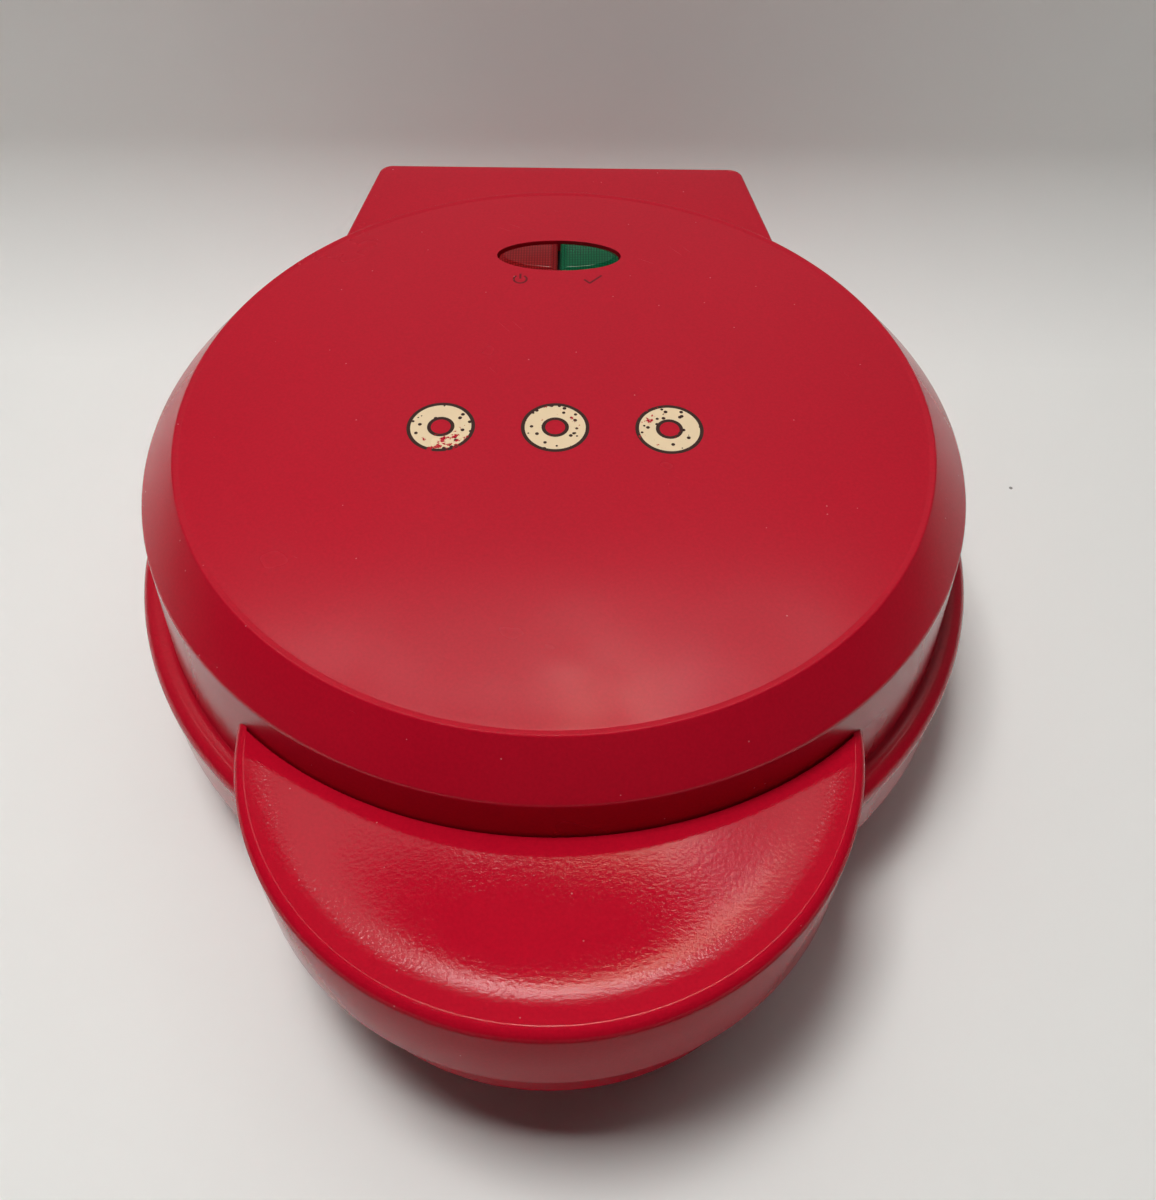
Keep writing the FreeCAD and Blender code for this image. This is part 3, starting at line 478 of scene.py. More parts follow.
    @classmethod
    def make_brush(cls) -> None:
        """Build the drawn lines of rolled or brushed metal."""
        board, inputs, outer = cls.start("brush", ["Mask"])
        lines = board.noise(board.stretch(inputs["Vector"], (35.0, 2400.0, 2400.0)), 1.0, 3.0, 0.6)
        board.put(outer.inputs["Mask"], board.map(lines, 0.3, 0.7))

    @classmethod
    def make_donut_print(cls) -> None:
        """Build a printed row of three plain ring donuts, with sizes in millimetres."""
        board, inputs, outer = cls.start("donut_print", ["Ink", "Icing"], Pitch=30.0, Centre=11.0, Wear=0.5)
        x, y, _ = board.split(board.stretch(inputs["Vector"], IN_MM))
        index = board.math("ROUND", board.math("DIVIDE", x, inputs["Pitch"]))
        index = board.math("MINIMUM", board.most(index, -1.0), 1.0)
        across = board.math("SUBTRACT", x, board.times(index, inputs["Pitch"]))
        reach = board.reach(across, board.math("SUBTRACT", y, inputs["Centre"]))
        dough = board.band(reach, 2.6, 9.0)
        icing = board.band(reach, 3.6, 8.0)
        beads = board.add("ShaderNodeTexVoronoi", {"Vector": inputs["Vector"], "Scale": 460.0})
        bead = board.under(beads.outputs["Distance"], 0.24)
        icing = board.times(icing, board.math("SUBTRACT", 1.0, bead))
        chips = board.noise(inputs["Vector"], 300.0, 5.0, 0.7)
        patches = board.noise(inputs["Vector"], 45.0, 2.0, 0.5)
        worn = board.math("MULTIPLY_ADD", patches, 0.6, chips)
        kept = board.under(worn, board.math("MULTIPLY_ADD", inputs["Wear"], -0.24, 1.03))
        board.put(outer.inputs["Ink"], board.times(dough, kept))
        board.put(outer.inputs["Icing"], board.times(icing, kept))

    @classmethod
    def make_symbols(cls) -> None:
        """Build the on symbol and the tick below the window, with sizes in millimetres."""
        board, inputs, outer = cls.start("symbols", ["Mask"], Line=0.32)
        x, y, _ = board.split(board.stretch(inputs["Vector"], IN_MM))

        def segment(start: Point, end: Point) -> Socket:
            """Return the mask of a straight stroke."""
            length = math.dist(start, end)
            dx, dy = (end[0] - start[0]) / length, (end[1] - start[1]) / length
            u, v = board.math("SUBTRACT", x, start[0]), board.math("SUBTRACT", y, start[1])
            along = board.math("ADD", board.times(u, dx), board.times(v, dy))
            side = board.math("SUBTRACT", board.times(v, dx), board.times(u, dy))
            on = board.under(board.math("ABSOLUTE", side), inputs["Line"])
            from_middle = board.math("ABSOLUTE", board.math("SUBTRACT", along, length / 2))
            return board.times(on, board.under(from_middle, length / 2 + 0.15))

        centre_x, centre_y, ring_radius, half_gap = -11.2, AXIS_Y + 54.6, 1.9, 0.62
        u, v = board.math("SUBTRACT", x, centre_x), board.math("SUBTRACT", y, centre_y)
        off_ring = board.math("ABSOLUTE", board.math("SUBTRACT", board.reach(u, v), ring_radius))
        off_top = board.math("ABSOLUTE", board.math("SUBTRACT", board.math("ARCTAN2", v, u), math.pi / 2))
        ring = board.times(board.under(off_ring, inputs["Line"]), board.over(off_top, half_gap))
        stem = segment((centre_x, centre_y + 0.3), (centre_x, centre_y + 2.5))
        tick_left, tick_foot, tick_right = (7.6, AXIS_Y + 54.6), (9.2, AXIS_Y + 53.0), (12.6, AXIS_Y + 56.7)
        tick = board.most(segment(tick_left, tick_foot), segment(tick_foot, tick_right))
        board.put(outer.inputs["Mask"], board.most(ring, stem, tick))


# ------------------------------------------------------------------ finishes


def open_material(name: str) -> tuple[bpy.types.Material, Board, bpy.types.Node, Socket]:
    """Make an empty material.

    Args:
        name: The material's name.

    Returns:
        The material, its board, its surface shader and the object coordinates.
    """
    material = bpy.data.materials.new(name)
    material.use_nodes = True
    material.node_tree.nodes.clear()
    board = Board(material.node_tree)
    shader = board.add("ShaderNodeBsdfPrincipled")
    output = board.add("ShaderNodeOutputMaterial")
    board.put(output.inputs["Surface"], shader.outputs[0])
    coordinates = board.add("ShaderNodeTexCoord").outputs["Object"]
    return material, board, shader, coordinates


@dataclass(frozen=True)
class RedEnamel:
    """Deep red sprayed finish with a wavy gloss.

    Attributes:
        name: Material name.
        roughness: Base roughness.
        peel: Depth of the waviness in millimetres.
        gloss: Specular level, 0.5 for a plain lacquer.
        side_gloss: Share of the gloss left on upright faces.
        printed: True on the domed lid, which carries the printed row and symbols.
        colour: The paint's colour.
    """

    name: str
    roughness: float
    peel: float
    gloss: float = 0.5
    side_gloss: float = 1.0
    printed: bool = False
    colour: Colour = (0.470, 0.0035, 0.0185)

    def build(self) -> bpy.types.Material:
        """Build the material."""
        material, board, shader, where = open_material(self.name)
        colour = GroupKit.only(board, "mottle", where, Colour=self.colour, Scale=14.0, Depth=0.10)
        colour = GroupKit.only(board, "mottle", where, Colour=colour, Scale=1300.0, Depth=0.35)
        scratches = GroupKit.only(board, "scratches", where, Amount=0.8)
        dust = GroupKit.only(board, "dust", where, Amount=0.35, Scale=380.0)
        if self.printed:
            colour = self.add_print(board, where, colour)
        colour = board.mix(board.times(scratches, 0.025), colour, (0.75, 0.30, 0.32))
        colour = board.mix(board.times(dust, 0.25), colour, (0.72, 0.55, 0.55))
        board.put(shader.inputs["Base Color"], colour)
        cloud = board.noise(where, 22.0, 4.0)
        rough = board.map(cloud, 0.2, 0.8, self.roughness * 0.85, self.roughness * 1.25)
        rough = board.math("MULTIPLY_ADD", scratches, 0.06, rough)
        board.put(shader.inputs["Roughness"], board.math("MULTIPLY_ADD", dust, 0.3, rough))
        board.bump(shader, GroupKit.only(board, "orange_peel", where), 1.0, self.peel * MM)
        normal = board.add("ShaderNodeNewGeometry").outputs["Normal"]
        upward = board.map(board.split(normal)[2], 0.3, 0.6)
        level = board.map(upward, 0.0, 1.0, self.gloss * self.side_gloss, self.gloss)
        board.put(shader.inputs["Specular IOR Level"], level)
        return material

    def add_print(self, board: Board, where: Socket, colour: Socket) -> Socket:
        """Lay the printed row and the symbols over the paint.

        Args:
            board: The material's board.
            where: Object coordinates.
            colour: The paint under the print.

        Returns:
            The printed colour.
        """
        row = GroupKit.place(board, "donut_print", where, Wear=0.45, Centre=AXIS_Y - 7.6)
        marks = GroupKit.only(board, "symbols", where)
        _, _, z = board.split(where)
        on_top = board.over(z, 96.0 * MM)
        colour = board.mix(board.times(row.outputs["Ink"], on_top), colour, (0.045, 0.018, 0.014))
        colour = board.mix(board.times(row.outputs["Icing"], on_top), colour, (0.80, 0.62, 0.40))
        return board.mix(board.times(marks, on_top, 0.8), colour, (0.06, 0.005, 0.008))


@dataclass(frozen=True)
class GrainedPlastic:
    """Matte moulded plastic, rubber, ceramic, sleeving or glass.

    Attributes:
        name: Material name.
        colour: Base colour.
        roughness: Base roughness.
        grain: Strength of the mould grain.
    """

    name: str
    colour: Colour = (0.018, 0.018, 0.019)
    roughness: float = 0.5
    grain: float = 0.25

    def build(self) -> bpy.types.Material:
        """Build the material."""
        material, board, shader, where = open_material(self.name)
        colour = GroupKit.only(board, "mottle", where, Colour=self.colour, Scale=30.0, Depth=0.3)
        dust = GroupKit.only(board, "dust", where, Amount=0.5, Scale=300.0)
        pale = tuple(min(1.0, c + 0.25) for c in self.colour)
        board.put(shader.inputs["Base Color"], board.mix(board.times(dust, 0.3), colour, pale))
        cloud = board.noise(where, 40.0, 4.0)
        rough = board.map(cloud, 0.2, 0.8, self.roughness * 0.85, self.roughness * 1.15)
        board.put(shader.inputs["Roughness"], rough)
        board.bump(shader, GroupKit.only(board, "grain", where), self.grain, 0.2 * MM)
        return material


@dataclass(frozen=True)
class NonStick:
    """Dark non-stick coating with pale flecks.

    Attributes:
        name: Material name.
    """

    name: str = "non_stick"

    def build(self) -> bpy.types.Material:
        """Build the material."""
        material, board, shader, where = open_material(self.name)
        colour = GroupKit.only(board, "mottle", where, Colour=(0.022, 0.022, 0.024), Scale=25.0, Depth=0.4)
        fleck = GroupKit.only(board, "dust", where, Amount=1.5, Scale=900.0)
        rub = GroupKit.only(board, "scratches", where, Amount=1.0)
        colour = board.mix(board.times(fleck, 0.5), colour, (0.16, 0.16, 0.17))
        colour = board.mix(board.times(rub, 0.35), colour, (0.12, 0.12, 0.12))
        board.put(shader.inputs["Base Color"], colour)
        rough = board.map(board.noise(where, 60.0, 4.0), 0.2, 0.8, 0.26, 0.38)
        board.put(shader.inputs["Roughness"], board.math("MULTIPLY_ADD", rub, 0.2, rough))
        board.bump(shader, GroupKit.only(board, "grain", where, Scale=2600.0), 0.18, 0.2 * MM)
        return material


@dataclass(frozen=True)
class BareMetal:
    """Rolled, plated or heat-stained metal.

    Attributes:
        name: Material name.
        colour: Reflective colour.
        roughness: Base roughness.
        stain: How much heat staining shows.
    """

    name: str
    colour: Colour
    roughness: float
    stain: float

    def build(self) -> bpy.types.Material:
        """Build the material."""
        material, board, shader, where = open_material(self.name)
        colour = GroupKit.only(board, "mottle", where, Colour=self.colour, Scale=60.0, Depth=0.25)
        heat = board.map(board.noise(where, 35.0, 3.0), 0.5, 0.75)
        colour = board.mix(board.times(heat, self.stain), colour, (0.42, 0.27, 0.13))
        board.put(shader.inputs["Base Color"], colour)
        shader.inputs["Metallic"].default_value = 1.0
        lines = GroupKit.only(board, "brush", where)
        rough = board.map(lines, 0.0, 1.0, self.roughness * 0.8, self.roughness * 1.3)
        board.put(shader.inputs["Roughness"], rough)
        board.bump(shader, lines, 0.08, 0.1 * MM)
        return material


@dataclass(frozen=True)
class PrismLens:
    """Tinted glossy plastic. A fine grid of painted light and shade stands in for the prism facets on its
    underside.

    Attributes:
        name: Material name.
        colour: Tint.
    """

    name: str
    colour: Colour

    def build(self) -> bpy.types.Material:
        """Build the material."""
        material, board, shader, where = open_material(self.name)
        x, y, _ = board.split(board.stretch(where, IN_MM))
        # Painted light and shade: a grid of darker lines stands in for how the underside prism facets bend the
        # light.
        painted_facet_shade = [board.math("ABSOLUTE", board.math("SINE", board.times(along, 3.9))) for along in (x, y)]
        dark = tuple(c * 0.45 for c in self.colour)
        colour = board.mix(board.map(board.times(*painted_facet_shade), 0.15, 0.75), dark, self.colour)
        colour = GroupKit.only(board, "mottle", where, Colour=colour, Scale=180.0, Depth=0.3)
        board.put(shader.inputs["Base Color"], colour)
        haze = board.noise(where, 200.0, 3.0)
        board.put(shader.inputs["Roughness"], board.map(haze, 0.3, 0.8, 0.06, 0.16))
        board.bump(shader, board.noise(where, 500.0, 2.0), 0.06, 0.3 * MM)
        shader.inputs["IOR"].default_value = 1.49
        return material


@dataclass(frozen=True)
class Tabletop:
    """Pale painted surface that the appliance stands on, with a few stray crumbs.

    Attributes:
        name: Material name.
        one_sided: True if it is clear from its back.
    """

    name: str = "tabletop"
    one_sided: bool = False

    def build(self) -> bpy.types.Material:
        """Build the material."""
        material, board, shader, where = open_material(self.name)
        cloud = board.noise(where, 6.0, 3.0)
        colour = board.mix(cloud, (0.86, 0.86, 0.835), (0.885, 0.885, 0.865))
        if not self.one_sided:
            crumb = GroupKit.only(board, "dust", where, Amount=0.11, Scale=110.0)
            colour = board.mix(board.times(crumb, 0.75), colour, (0.06, 0.05, 0.045))
        board.put(shader.inputs["Base Color"], colour)
        board.put(shader.inputs["Roughness"], board.map(cloud, 0.2, 0.8, 0.50, 0.62))
        shader.inputs["Specular IOR Level"].default_value = 0.15
        if self.one_sided:
            behind = board.add("ShaderNodeNewGeometry").outputs["Backfacing"]
            clear = board.add("ShaderNodeBsdfTransparent").outputs[0]
            choice = board.add("ShaderNodeMixShader", {0: behind, 1: shader.outputs[0], 2: clear})
            output = next(n for n in material.node_tree.nodes if n.type == "OUTPUT_MATERIAL")
            board.put(output.inputs["Surface"], choice.outputs[0])
        return material


class Palette:
    """All the finishes, built once."""

    def __init__(self) -> None:
        """Build every material."""
        self.lid = RedEnamel("red_enamel_lid", 0.23, 0.005, printed=True).build()
        self.body = RedEnamel("red_enamel_body", 0.15, 0.006, 0.4).build()
        self.handle = RedEnamel("red_enamel_handle", 0.085, 0.016, 0.16, 0.15).build()
        self.black = GrainedPlastic("black_phenolic").build()
        self.rubber = GrainedPlastic("black_rubber", (0.02, 0.02, 0.02), 0.7, 0.4).build()
        self.ivory = GrainedPlastic("ivory_steatite", (0.72, 0.66, 0.53), 0.45, 0.15).build()
        self.sleeve = GrainedPlastic("woven_sleeve", (0.70, 0.69, 0.64), 0.75, 0.6).build()
        self.coating = NonStick().build()
        self.plated = BareMetal("zinc_plated", (0.62, 0.63, 0.64), 0.28, 0.1).build()
        self.sheet = BareMetal("bright_sheet", (0.74, 0.75, 0.76), 0.32, 0.25).build()
        self.sheath = BareMetal("element_sheath", (0.22, 0.21, 0.19), 0.5, 0.6).build()
        self.red_lens = PrismLens("red_lens", (0.30, 0.008, 0.010)).build()
        self.green_lens = PrismLens("green_lens", (0.004, 0.115, 0.045)).build()
        self.lamp = GrainedPlastic("lamp_bulb", (0.8, 0.75, 0.65), 0.15, 0.02).build()


# ------------------------------------------------------------------ sub-assemblies


@dataclass
class LidShell:
    """The domed lid: stepped outline, hinge block, shroud and lugs, in millimetres.

    Attributes:
        palette: The finishes.
        dome_top: Height of the dome's middle.
        dome_fall: How much lower the dome is at its edge.
        dome_reach: Radius of the dome's edge.
        notch_half: Half the width of the notch for the hinge barrel.
        barrel_clear: Radius of the space that the barrel turns in.
        block_low: Height of the hinge block's underside.
        block_high: Height of the hinge block's top.
        hinge: y and z of the hinge's axis.
        window: Centre y, half length and half width of the window's hole.
    """

    palette: Palette
    dome_top: float = 100.3
    dome_fall: float = 2.9
    dome_reach: float = 98.6
    notch_half: float = 60.2
    barrel_clear: float = 10.8
    block_low: float = 64.9
    block_high: float = 93.4
    hinge: Point = (AXIS_Y + 111.0, 52.0)
    window: tuple[float, float, float] = (AXIS_Y + 66.5, 18.5, 7.6)

    def dome_height(self, radius: float) -> float:
        """Return the dome's height at a radius, in millimetres."""
        return self.dome_top - self.dome_fall * (radius / self.dome_reach) ** 2

    def outline(self) -> list[Point]:
        """Return the closed section of the shell."""
        dome = [(r, self.dome_height(r)) for r in (0.0, 15.0, 30.0, 45.0, 60.0, 72.0, 82.0, 90.0, 95.0, 97.0)]
        upper = rounded([
            (97.0, self.dome_height(97.0), 0.0), (98.9, self.dome_height(98.9), 1.6),
            (100.5, self.dome_height(98.9) + 0.30, 0.8), (111.3, 85.6, 2.2), (113.3, 52.0, 1.5),
            (115.6, 51.95, 0.0)], steps=7, closed=False)
        rim = arc(116.25, 48.3, 3.7, 96.0, 4.0, 12)
        lower = rounded([
            (119.95, 48.3, 0.0), (119.95, 45.8, 0.7), (115.2, 45.8, 0.6), (111.0, 57.0, 3.0),
            (108.7, 84.5, 4.0), (99.4, 94.0, 3.0), (0.0, 97.6, 0.0)], steps=5, closed=False)
        return dome + upper[1:] + rim + lower

    def build(self) -> None:
        """Build the shell, the block and the hinge parts."""
        shell = lathe("lid_shell_skin", self.outline(), 288)
        y, half_long, half_wide = self.window
        oval = [(half_long * math.cos(a), y + half_wide * math.sin(a))
                for a in (math.radians(4 * step) for step in range(90))]
        carve(shell, extrude("window_tool", oval, 90.0, 110.0))
        carve(shell, self.notch_tool())
        settle(shell, self.palette.lid, Body.LID, ["lid_shell"], 28.0)
        self.build_block()
        self.build_hinge_parts()

    def notch_tool(self) -> bpy.types.Object:
        """Return the solid that clears the hinge barrel."""
        y, z = self.hinge
        front = arc(y, z, self.barrel_clear, 74.0, 270.0, 40)
        back = y + 24.0
        outline = front + [(back, z - self.barrel_clear), (back, self.block_low),
                           (front[0][0], self.block_low)]
        return extrude("notch_tool", outline, -self.notch_half, self.notch_half, "x")

    def build_block(self) -> None:
        """Build the tapered block over the hinge."""
        outline = rounded([(-67.0, AXIS_Y + 81.0, 0.0), (67.0, AXIS_Y + 81.0, 0.0),
                           (59.0, AXIS_Y + 121.2, 4.5), (-59.0, AXIS_Y + 121.2, 4.5)], steps=8)
        block = extrude("lid_hinge_block", outline, self.block_low, self.block_high)
        bevel(block, 1.5, lambda a, b: min(a.z, b.z) > self.block_high - 0.1, 5)
        bevel(block, 0.5, lambda a, b: max(a.z, b.z) < self.block_low + 0.1, 2)
        settle(block, self.palette.lid, Body.LID, angle=40.0)

    def build_hinge_parts(self) -> None:
        """Build the shroud in front of the barrel, its cheeks and the two lugs."""
        y, z = self.hinge
        inner = arc(y, z, self.barrel_clear, 74.0, 215.0, 30)
        outer = arc(y, z, 13.3, 212.2, 76.0, 30)
        shroud = extrude("lid_shroud", inner + outer, -self.notch_half, self.notch_half, "x")
        settle(shroud, self.palette.body, Body.LID)
        for side, word in ((-1.0, "left"), (1.0, "right")):
            front, back, foot, top = y - 17.5, y - 9.0, 45.9, 64.6
            cheek = rounded([(front, foot, 0.4), (back, foot, 0.6), (back, top, 0.6), (front, top, 0.4)], steps=3)
            low, high = sorted((side * 60.0, side * 62.0))
            plate = extrude("lid_cheek_" + word, cheek, low, high, "x")
            settle(plate, self.palette.body, Body.LID)
            sweep = arc(y, z, 8.8, 180.0, 360.0, 24) + [(y + 7.8, 65.4), (y - 7.8, 65.4)]
            low, high = sorted((side * 44.0, side * 52.0))
            lug = extrude("lid_lug_" + word, sweep, low, high, "x")
            bevel(lug, 0.5, lambda a, b: abs(a.x - b.x) < 0.01 and a.z < 65.0 and b.z < 65.0, 2)
            bore = extrude("bore_tool", arc(y, z, 2.55, 0.0, 352.5, 47), low - 1.0, high + 1.0, "x")
            carve(lug, bore)
            settle(lug, self.palette.body, Body.LID)


@dataclass
class Handle:
    """A half-disc handle with a rounded outer wall and a lip round a dished top.

    Attributes:
        name: The piece's name.
        radius: Radius of the outer wall in millimetres.
        wall_radius: Radius of the housing wall that it meets.
        low: Height of its open underside.
        high: Height of its lip.
        dish: Depth of the dished top under the lip.
        run: Distance over which the dish falls.
        edge: Radius of the lip.
        gap: Clearance from the housing wall.
        back: Radius of the back edge.
        centre_y: y of the outer wall's centre.
        steps: Pieces round the half disc.
    """

    name: str
    radius: float
    wall_radius: float
    low: float
    high: float
    dish: float = 1.60
    run: float = 34.0
    edge: float = 2.8
    gap: float = 0.3
    back: float = 0.45
    centre_y: float = AXIS_Y - 83.3
    steps: int = 160

    def wall_y(self, x: float, away: float) -> float:
        """Return the y that is a distance outside the housing wall at an x, in millimetres."""
        return AXIS_Y - math.sqrt(max((self.wall_radius + away) ** 2 - x * x, 0.0))

    def section(self) -> list[tuple[float, float]]:
        """Return the inset and height of each ring from the inner edge of the open side to the lip."""
        wall = rounded([(2.5, self.low + 2.6, 0.0), (2.5, self.low, 0.5), (0.0, self.low, 0.9),
                        (0.0, self.high, self.edge), (12.0, self.high, 0.0)], steps=7, closed=False)
        return wall[:-1]

    def dished(self, inset: float) -> float:
        """Return how far the top lies below the lip at an inset from the outer wall."""
        t = min(max((inset - self.edge) / self.run, 0.0), 1.0)
        return self.dish * (1.0 - (1.0 - t) ** 5.2)

    def back_edge(self) -> list[tuple[float, float]]:
        """Return the offset from the wall and the drop of each ring over the rounded back edge."""
        turns = [math.radians(90.0 * step / 6) for step in range(7)]
        first_drop = 0.02
        curve = [(self.gap + self.back * (1 - math.sin(t)), first_drop + self.back * (1 - math.cos(t)))
                 for t in turns]
        return [(self.stop(), 0.0)] + curve + [(self.gap, 3.2), (-0.6, 3.4)]

    def stop(self) -> float:
        """Return how far from the wall the dished top ends and the back edge starts."""
        return self.gap + self.back + 0.55

    def build(self) -> bpy.types.Object:
        """Build the handle's mesh.

        Returns:
            The handle, open side down.
        """
        section = self.section()
        rows = 26
        columns = self.steps + 1
        turns = [math.pi * (step / self.steps - 0.5) for step in range(columns)]
        points: list[tuple[float, float, float]] = []
        for inset, height in section:
            reach = self.radius - inset
            points += [(reach * math.sin(t), self.centre_y - reach * math.cos(t), height) for t in turns]
        reach = self.radius - section[-1][0]
        front = [(reach * math.sin(t), self.centre_y - reach * math.cos(t)) for t in turns]
        stop = self.stop()
        for row in range(1, rows + 1):
            share = row / rows
            share = share * (0.35 + 0.65 * share)
            for x, y in front:
                y = y + (max(self.wall_y(x, stop), y) - y) * share
                inset = self.radius - math.hypot(x, y - self.centre_y)
                points.append((x, y, self.high - self.dished(inset)))
        edge = self.back_edge()
        for away, drop in edge[1:]:
            for x, y in front:
                at = max(self.wall_y(x, away), y)
                inset = self.radius - math.hypot(x, max(self.wall_y(x, stop), y) - self.centre_y)
                points.append((x, at, self.high - self.dished(inset) - drop))
        faces = []
        for ring in range(len(section) + rows + len(edge) - 2):
            for step in range(self.steps):
                a = ring * columns + step
                faces.append([a, a + 1, a + columns + 1, a + columns])
        return mesh_from(self.name, points, faces)


@dataclass
class LidHandle:
    """The lid's handle. The base's handle keeps its frame mesh.

    Attributes:
        palette: The finishes.
    """

    palette: Palette

    def build(self) -> None:
        """Build the lid handle's finer skin."""
        upper = Handle("lid_handle_skin", 75.7, 112.05, 46.0, 75.0)
        settle(upper.build(), self.palette.handle, Body.LID, ["lid_handle"], 50.0)


@dataclass
class IndicatorWindow:
    """The oval window: two chamfered lens halves, in millimetres.

    Attributes:
        palette: The finishes.
        centre_y: y of the window's centre.
        half_long: Half the window's length.
        half_wide: Half the window's width.
        chamfer: Width of the slope round each half.
    """

    palette: Palette
    centre_y: float = AXIS_Y + 66.5
    half_long: float = 18.1
    half_wide: float = 7.2
    chamfer: float = 1.7

    def half_outline(self, side: float, inset: float) -> list[Point]:
        """Return the outline of one lens half.

        Args:
            side: -1 for the left half, 1 for the right.
            inset: Distance in from the outer edge in millimetres.

        Returns:
            The closed outline.
        """
        long, wide, split = self.half_long - inset, self.half_wide - inset, 0.4 + inset
        limit = math.acos(min(split / long, 1.0))
        count = 48
        angles = [limit * (2 * step / count - 1) for step in range(count + 1)]
        return [(side * long * math.cos(a), self.centre_y + wide * math.sin(a)) for a in angles]

    def build(self) -> None:
        """Build both halves."""
        for side, word, material, slot in ((-1.0, "power", self.palette.red_lens, "red_lens"),
                                           (1.0, "ready", self.palette.green_lens, "green_lens")):
            rings = [(0.0, 94.5), (0.0, 97.6), (0.25, 97.95), (self.chamfer, 98.75),
                     (self.chamfer + 0.3, 98.85)]
            points: list[tuple[float, float, float]] = []
            for inset, height in rings:
                points += [(x, y, height) for x, y in self.half_outline(side, inset)]
            count = len(self.half_outline(side, 0.0))
            last = (len(rings) - 1) * count
            faces: list[list[int]] = [list(range(count)), list(range(last, last + count))]
            for ring in range(len(rings) - 1):
                for step in range(count):
                    after = (step + 1) % count
                    faces.append([ring * count + step, ring * count + after,
                                  (ring + 1) * count + after, (ring + 1) * count + step])
            lens = mesh_from(word + "_lens_half", points, faces)
            settle(lens, material, Body.LID, [word + "_lens"], 20.0)


@dataclass
class FrameNodes:
    """The frame's own nodes that stay, each with its finish.

    Attributes:
        palette: The finishes.
        plan: The finish of each node; feet are rubber and the other nodes are plated.
    """

    palette: Palette
    plan: dict[str, str] = field(default_factory=lambda: {
        "base_shell": "body", "base_handle": "handle", "base_handle_cover": "body",
        "lid_handle_cover": "body",
        "lower_plate_frame": "black", "upper_plate_frame": "black", "lamp_holder": "black",
        "lower_cooking_plate": "coating", "upper_cooking_plate": "coating",
        "lower_heat_reflector": "sheet", "upper_heat_reflector": "sheet", "fuse_clamp": "sheet",
        "lower_heating_element": "sheath", "upper_heating_element": "sheath",
        "thermal_fuse": "ivory", "terminal_block": "ivory", "thermostat": "ivory",
        "base_leads": "sleeve", "lid_leads": "sleeve", "power_lamp": "lamp", "ready_lamp": "lamp",
        "cord_bush": "rubber",
    })

    def build(self) -> None:
        """Dress every node that is still shown."""
        for name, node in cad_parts.items():
            if node.hide_render:
                continue
            finish = self.plan.get(name)
            if finish is None:
                finish = "rubber" if name.startswith("foot") else "plated"
            dress(node, getattr(self.palette, finish))
            smooth(node, 30.0)
            LOG.info("%s keeps its frame mesh, in %s", name, finish)


# ------------------------------------------------------------------ studio


AIM = (0.0, -0.05, 0.1)


class Reach(Enum):
    """What a lamp's light does: it lights surfaces, or only shows in their gloss."""

    SURFACES = "surfaces"
    GLOSS = "gloss"


@dataclass(frozen=True)
class Lamp:
    """A rectangular soft lamp.

    Attributes:
        name: The lamp's name.
        place: Its place in metres.
        size: Width and height in metres.
        power: Power in watts.
        reach: What its light does.
        tint: Colour.
    """

    name: str
    place: tuple[float, float, float]
    size: tuple[float, float]
    power: float
    reach: Reach
    tint: Colour

    @classmethod
    def seen_at(cls, name: str, azimuth: float, elevation: float, spread: tuple[float, float],
                radiance: float, tint: Colour) -> "Lamp":
        """Make a gloss-only lamp from the direction that it is seen in.

        Args:
            name: The lamp's name.
            azimuth: Degrees from straight back towards the right.
            elevation: Degrees above the horizon.
            spread: Width and height in degrees.
            radiance: Brightness of its face.
            tint: Colour.

        Returns:
            The lamp, two metres away.
        """
        away, turn, rise = 2.0, math.radians(azimuth), math.radians(elevation)
        size = tuple(2 * away * math.tan(math.radians(s) / 2) for s in spread)
        place = (AIM[0] + away * math.cos(rise) * math.sin(turn),
                 AIM[1] + away * math.cos(rise) * math.cos(turn),
                 AIM[2] + away * math.sin(rise))
        return cls(name, place, size, radiance * math.pi * size[0] * size[1], Reach.GLOSS, tint)

    def build(self) -> None:
        """Hang the lamp so that it faces the appliance."""
        data = bpy.data.lights.new(self.name, "AREA")
        data.shape = "RECTANGLE"
        data.size, data.size_y = self.size
        data.energy = self.power
        data.color = self.tint
        lamp = bpy.data.objects.new(self.name, data)
        lamp.location = self.place
        lamp.rotation_euler = (Vector(AIM) - Vector(self.place)).to_track_quat("-Z", "Y").to_euler()
        lamp.visible_glossy = self.reach is Reach.GLOSS
        lamp.visible_diffuse = self.reach is Reach.SURFACES
        bpy.context.scene.collection.objects.link(lamp)


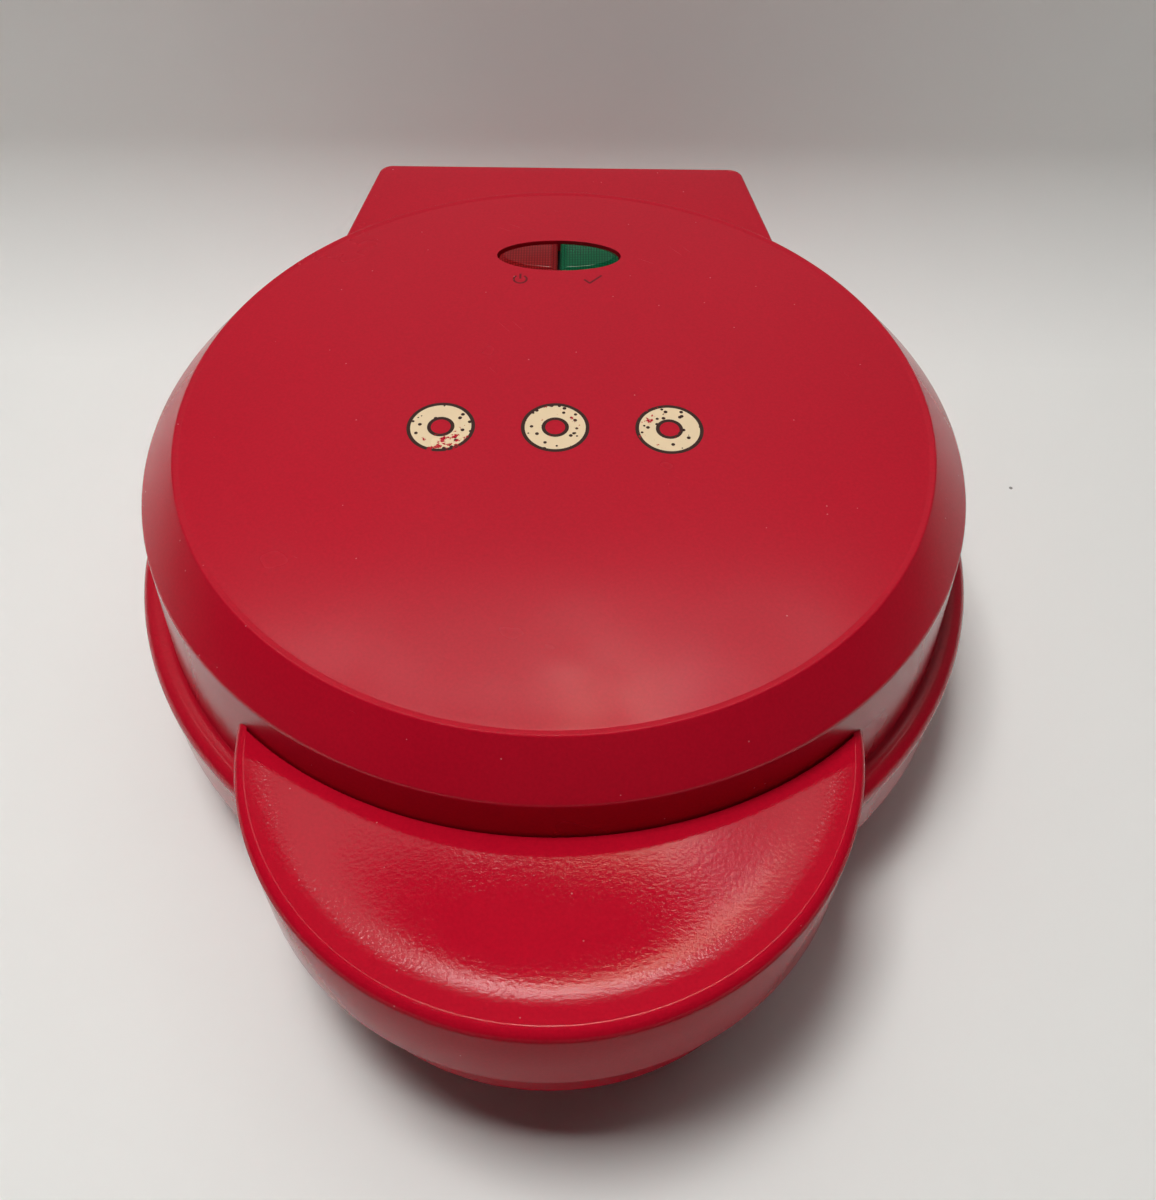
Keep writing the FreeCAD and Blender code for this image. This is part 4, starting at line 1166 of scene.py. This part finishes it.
@dataclass
class Studio:
    """The table, the backdrop, the lights and the camera.

    Attributes:
        lamps: The lamps that hang over the table.
    """

    lamps: tuple[Lamp, ...] = (
        Lamp("key", (-0.19, -0.03, 1.20), (0.32, 0.32), 9.3, Reach.SURFACES, (1.0, 0.995, 0.985)),
        Lamp("ceiling", (0.1, 0.60, 1.7), (2.0, 1.5), 9.6, Reach.SURFACES, (1.0, 0.99, 0.975)),
        Lamp("room", (0.2, -1.5, 0.9), (1.4, 1.0), 0.4, Reach.SURFACES, (1.0, 0.985, 0.965)),
        Lamp.seen_at("strip", -4.0, 61.0, (42.0, 6.5), 2.9, (1.0, 0.96, 0.93)),
        Lamp.seen_at("warm_core", 6.5, 63.2, (8.0, 2.8), 15.0, (1.0, 0.72, 0.50)),
        Lamp.seen_at("cool_core", 15.0, 63.5, (4.0, 3.0), 5.0, (0.86, 0.78, 1.0)),
        Lamp.seen_at("centre_core", -1.5, 61.3, (5.0, 2.8), 24.0, (1.0, 0.95, 0.95)),
        Lamp.seen_at("left_core", -7.0, 62.8, (4.0, 1.8), 14.0, (1.0, 0.90, 0.84)),
    )

    def build(self) -> None:
        """Build the stage."""
        self.table()
        self.backdrop()
        for lamp in self.lamps:
            lamp.build()
        self.world()
        self.camera()

    def table(self) -> None:
        """Lay a broad pale tabletop."""
        top = mesh_from("tabletop", [(-3000, -3000, -0.05), (3000, -3000, -0.05), (3000, 3000, -0.05),
                                     (-3000, 3000, -0.05)], [[0, 1, 2, 3]])
        dress(top, Tabletop().build())

    def backdrop(self) -> None:
        """Stand a pale wall behind, with a cove at its foot, clear when seen from behind."""
        low = arc(150.0, 60.0, 60.05, -90.0, 0.0, 24)
        path = low + [(210.05, 1200.0)]
        points = [(side, y, z) for side in (-3000.0, 3000.0) for y, z in path]
        count = len(path)
        faces = [[step, step + 1, count + step + 1, count + step] for step in range(count - 1)]
        sheet = mesh_from("backdrop", points, faces)
        for face in sheet.data.polygons:
            if face.normal.y > 0.0 or face.normal.z < -0.5:
                sheet.data.flip_normals()
                break
        smooth(sheet, 60.0)
        dress(sheet, Tabletop("backdrop", True).build())
        sheet.visible_glossy = False

    def world(self) -> None:
        """Fill the room with dim light: grey behind the table, dark overhead and on the near side."""
        world = bpy.data.worlds.new("room")
        world.use_nodes = True
        world.node_tree.nodes.clear()
        board = Board(world.node_tree)
        where = board.add("ShaderNodeTexCoord").outputs["Generated"]
        x, y, z = board.split(where)
        back = board.map(y, 0.05, 0.5)
        side = board.map(board.math("ABSOLUTE", x), 0.15, 0.5)
        colour = board.mix(side, (0.25, 0.245, 0.24), (0.10, 0.10, 0.105))
        colour = board.mix(back, (0.018, 0.018, 0.019), colour)
        high = board.map(z, 0.78, 0.90)
        colour = board.mix(high, colour, (0.035, 0.035, 0.035))
        lit = board.add("ShaderNodeBackground", {"Color": colour, "Strength": 1.0})
        output = board.add("ShaderNodeOutputWorld")
        board.put(output.inputs["Surface"], lit.outputs[0])
        bpy.context.scene.world = world
        bpy.context.scene.view_settings.view_transform = "Standard"

    def camera(self) -> None:
        """Set the camera at the viewing angle of a person standing at the worktop."""
        data = bpy.data.cameras.new("view")
        data.lens = 37.5
        data.sensor_width = 36.0
        data.clip_start = 0.01
        camera = bpy.data.objects.new("view", data)
        right, up = Vector((0.99993, 0.00398, 0.01128)), Vector((-0.01004, 0.79101, 0.61172))
        turn = Matrix((right, up, right.cross(up))).transposed().to_4x4()
        camera.matrix_world = Matrix.Translation(Vector((4.3, -224.9, 331.8)) * MM) @ turn
        bpy.context.scene.collection.objects.link(camera)
        bpy.context.scene.camera = camera


def main() -> None:
    """Build the appliance and the studio, reporting each piece."""
    logging.basicConfig(level=logging.INFO, format="%(name)s: %(message)s")
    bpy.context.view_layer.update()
    palette = Palette()
    Studio().build()
    LidShell(palette).build()
    LidHandle(palette).build()
    IndicatorWindow(palette).build()
    FrameNodes(palette).build()


if __name__ == "__main__":
    main()
